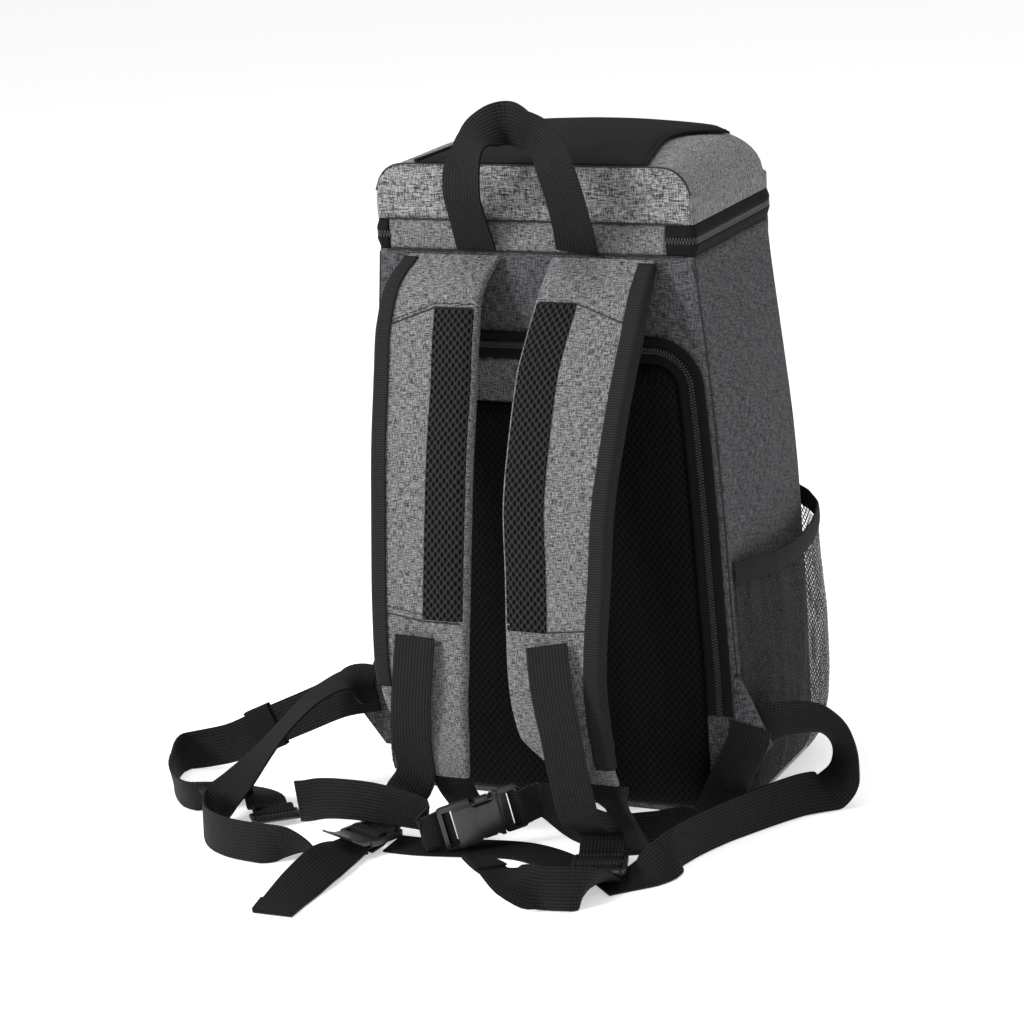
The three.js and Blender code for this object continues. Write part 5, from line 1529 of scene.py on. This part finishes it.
def build_web(name, stations, node, per_span=6):
    """Woven strap along its stations, lifted off the floor where it would reach below it."""
    for before, after in zip(stations, stations[1:]):
        if after["across"].dot(before["across"]) < 0:
            after["across"].negate()
    run = add_frames(smooth_stations(stations, per_span))
    width, thick = sizes().web_width, sizes().web_thickness
    columns = 10
    lines = []
    for station in run:
        low = min(at_station(station, s * width / 2, t * thick / 2).z for s in (-1, 1) for t in (-1, 1))
        lift = Vector((0, 0, max(FIT - low, 0)))
        lines.append([at_station(station, mix(-width / 2, width / 2, k / columns), 0) + lift
                      for k in range(columns + 1)])
    web = wrap(name, columns, len(lines) - 1, lambda i, j: lines[j][i])
    thicken(web, thick, 0.0, 0.0003)
    return dress(web, material("woven_web"), "webbing", node)


def build_hem(name, stations, length=0.015):
    """Folded and sewn end of a web: a second layer over its last stretch."""
    run = add_frames(smooth_stations(stations, 12))
    end = run[-1]["p"]
    last = [s for s in run if (s["p"] - end).length <= length]
    up = 1 if last[-1]["face"].z > 0 else -1
    width, thick = sizes().web_width * 1.02, sizes().web_thickness
    lines = []
    for station in last:
        ring = [at_station(station, mix(-width / 2, width / 2, k / 10), up * thick * 1.15)
                for k in range(11)]
        lines.append([Vector((p.x, p.y, max(p.z, thick * 1.6))) for p in ring])
    hem = wrap(name, 10, len(lines) - 1, lambda i, j: lines[j][i])
    thicken(hem, thick * 1.1, 0.0, 0.0004)
    return dress(hem, material("woven_web"), "webbing")


class BACKPACK_OT_webs(bpy.types.Operator):
    """Grab handle, strap webs, adjuster webs, belt and their free ends"""

    bl_idname = "backpack.webs"
    bl_label = "Webbing"

    def execute(self, context):
        build_web("handle_web", route("handle"), "grab_handle", 10)
        for word in ("left", "right"):
            hanging = route(f"strap_web_{word}") + at_lock(word, OVER_REAR_BAR)
            build_web(f"hanging_web_{word}", hanging, f"strap_web_{word}")
            build_web(f"adjuster_{word}", route(f"adjuster_{word}"), f"adjuster_web_{word}", 8)
            tail = at_lock(word, THROUGH_LOCK) + route(f"tail_{word}")
            build_web(f"tail_{word}", tail, f"adjuster_tail_{word}", 4)
            build_web(f"tip_web_{word}", route(f"tip_{word}"), f"strap_tip_web_{word}")
            build_hem(f"tail_hem_{word}", route(f"tail_{word}"))
        slider = fitting(share_point(-1.335, 2.055, 0.16), direction(-51, 0), direction(39, 0))
        build_web("belt_left", route("belt_left") + inside(slider, THROUGH_SLIDER), "belt_web_left", 5)
        left, right = share_point(-0.264, 2.352, 0.68), share_point(0.058, 2.008, 1.1)
        buckle = fitting((left + right) / 2, right - left, direction(-95, 68))
        start = [{"p": share_point(-1.205, 2.02, 0.56), "across": direction(0, 88)}]
        under = [(-along, -above) for along, above in ROUND_BAR]
        fold = start + route("belt_fold", 1) + inside(buckle, under)
        build_web("belt_fold", fold, "belt_fold_left", 5)
        build_web("belt_right", route("belt_right") + inside(buckle, ROUND_BAR), "belt_web_right", 5)
        build_web("belt_end", route("belt_tail"), "belt_tail_right", 5)
        return {"FINISHED"}


class BACKPACK_OT_fittings(bpy.types.Operator):
    """Moulded buckle, ladder locks, slider and the elastic keeper"""

    bl_idname = "backpack.fittings"
    bl_label = "Fittings"

    def execute(self, context):
        for node, name, edge in (
            ("ladder_lock_left", "lock_left", 0.0006), ("ladder_lock_right", "lock_right", 0.0006),
            ("belt_slider", "slider", 0.0004), ("buckle_female", "buckle_socket", 0.0006),
            ("buckle_male", "buckle_plug", 0.0005),
        ):
            dress(rounded(node, name, edge), material("moulded_plastic"), "buckle_plastic", node)
        keeper = rounded("belt_keeper", "keeper", 0.0003)
        dress(keeper, material("lid_cloth"), "black_fabric", "belt_keeper")
        return {"FINISHED"}


# Stage: the camera's turn, rise and roll are in degrees
CAMERA_TURN = 25.4
CAMERA_RISE = 15.6
CAMERA_ROLL = -3.45
CAMERA_DISTANCE = 2.20
CAMERA_TARGET = Vector((-0.028, -0.09, 0.217))
CAMERA_LENS = 108.8
FLOOR_HALF = 40
FLOOR_GLOW = 0.46
SKY_STRENGTH = 0.5
LIGHT_TARGET = Vector((0, -0.05, 0.2))
LIGHTS = table("name place size power", [
    ("key_light", (-1.7, -2.2, 1.6), 0.8, 78), ("top_light", (-0.3, -0.3, 2.3), 1.2, 24),
    ("rim_light", (2.2, 0.6, 1.5), 1.2, 8),
])


class BACKPACK_OT_stage(bpy.types.Operator):
    """Pale floor, soft lights and the camera"""

    bl_idname = "backpack.stage"
    bl_label = "Stage"

    def execute(self, context):
        self.floor()
        world = bpy.data.worlds.new("studio")
        world.use_nodes = True
        sky = world.node_tree.nodes["Background"]
        sky.inputs["Color"].default_value = (1, 1, 1, 1)
        sky.inputs["Strength"].default_value = SKY_STRENGTH
        context.scene.world = world
        for row in LIGHTS:
            data = bpy.data.lights.new(row["name"], "AREA")
            data.size = row["size"]
            data.energy = row["power"]
            light = bpy.data.objects.new(row["name"], data)
            light.location = row["place"]
            aim = LIGHT_TARGET - Vector(row["place"])
            light.rotation_euler = aim.to_track_quat("-Z", "Y").to_euler()
            context.scene.collection.objects.link(light)
        self.camera(context)
        context.scene.view_settings.view_transform = "Standard"
        return {"FINISHED"}

    def floor(self):
        mesh = bmesh.new()
        bmesh.ops.create_grid(mesh, x_segments=1, y_segments=1, size=FLOOR_HALF)
        floor = finish_mesh("floor", mesh)
        f = Finish("floor_paper")
        grain = f.grain(f.vector(*f.places(False)), 40.0)
        tone = f.blend((0.90, 0.90, 0.905, 1), (0.92, 0.92, 0.925, 1), grain)
        floor.data.materials.append(f.surface(
            Base_Color=tone, Roughness=0.9,
            Emission_Color=(1, 1, 1, 1), Emission_Strength=FLOOR_GLOW,
        ))

    def camera(self, context):
        turn, rise, roll = (math.radians(v) for v in (CAMERA_TURN, CAMERA_RISE, CAMERA_ROLL))
        level_back = math.cos(rise)
        back = Vector((math.sin(turn) * level_back, -math.cos(turn) * level_back, math.sin(rise)))
        level = Vector((math.cos(turn), math.sin(turn), 0))
        upright = back.cross(level)
        right = level * math.cos(roll) + upright * math.sin(roll)
        up = upright * math.cos(roll) - level * math.sin(roll)
        camera = bpy.data.objects.new("camera", bpy.data.cameras.new("camera"))
        camera.data.lens = CAMERA_LENS
        camera.data.sensor_width = 36
        facing = Matrix((right, up, back)).transposed().to_4x4()
        camera.matrix_world = Matrix.Translation(CAMERA_TARGET + back * CAMERA_DISTANCE) @ facing
        context.scene.collection.objects.link(camera)
        context.scene.camera = camera


OPERATORS = (
    BACKPACK_OT_body, BACKPACK_OT_lid, BACKPACK_OT_zips, BACKPACK_OT_back, BACKPACK_OT_pockets,
    BACKPACK_OT_tabs, BACKPACK_OT_straps, BACKPACK_OT_webs, BACKPACK_OT_fittings,
    BACKPACK_OT_stage,
)


class BACKPACK_PT_sidebar(bpy.types.Panel):
    """Lists the pieces, sizes and colours of the backpack"""

    bl_idname = "BACKPACK_PT_sidebar"
    bl_label = "Cooler backpack"
    bl_space_type = "VIEW_3D"
    bl_region_type = "UI"
    bl_category = "Backpack"

    def draw(self, context):
        for group in (context.scene.backpack_sizes, context.scene.backpack_colours):
            for name in group.bl_rna.properties.keys():
                if name not in ("rna_type", "name"):
                    self.layout.prop(group, name)
        for operator in OPERATORS:
            self.layout.operator(operator.bl_idname)


CLASSES = (BackpackSizes, BackpackColours, *OPERATORS, BACKPACK_PT_sidebar)


def register():
    for item in CLASSES:
        bpy.utils.register_class(item)
    bpy.types.Scene.backpack_sizes = PointerProperty(type=BackpackSizes)
    bpy.types.Scene.backpack_colours = PointerProperty(type=BackpackColours)


def unregister():
    del bpy.types.Scene.backpack_colours
    del bpy.types.Scene.backpack_sizes
    for item in reversed(CLASSES):
        bpy.utils.unregister_class(item)


def main():
    register()
    make_finishes()
    bpy.ops.backpack.body()
    bpy.ops.backpack.lid()
    bpy.ops.backpack.zips()
    bpy.ops.backpack.back()
    bpy.ops.backpack.pockets()
    bpy.ops.backpack.tabs()
    bpy.ops.backpack.straps()
    bpy.ops.backpack.webs()
    bpy.ops.backpack.fittings()
    bpy.ops.backpack.stage()
    bpy.context.view_layer.update()


if __name__ == "__main__":
    main()
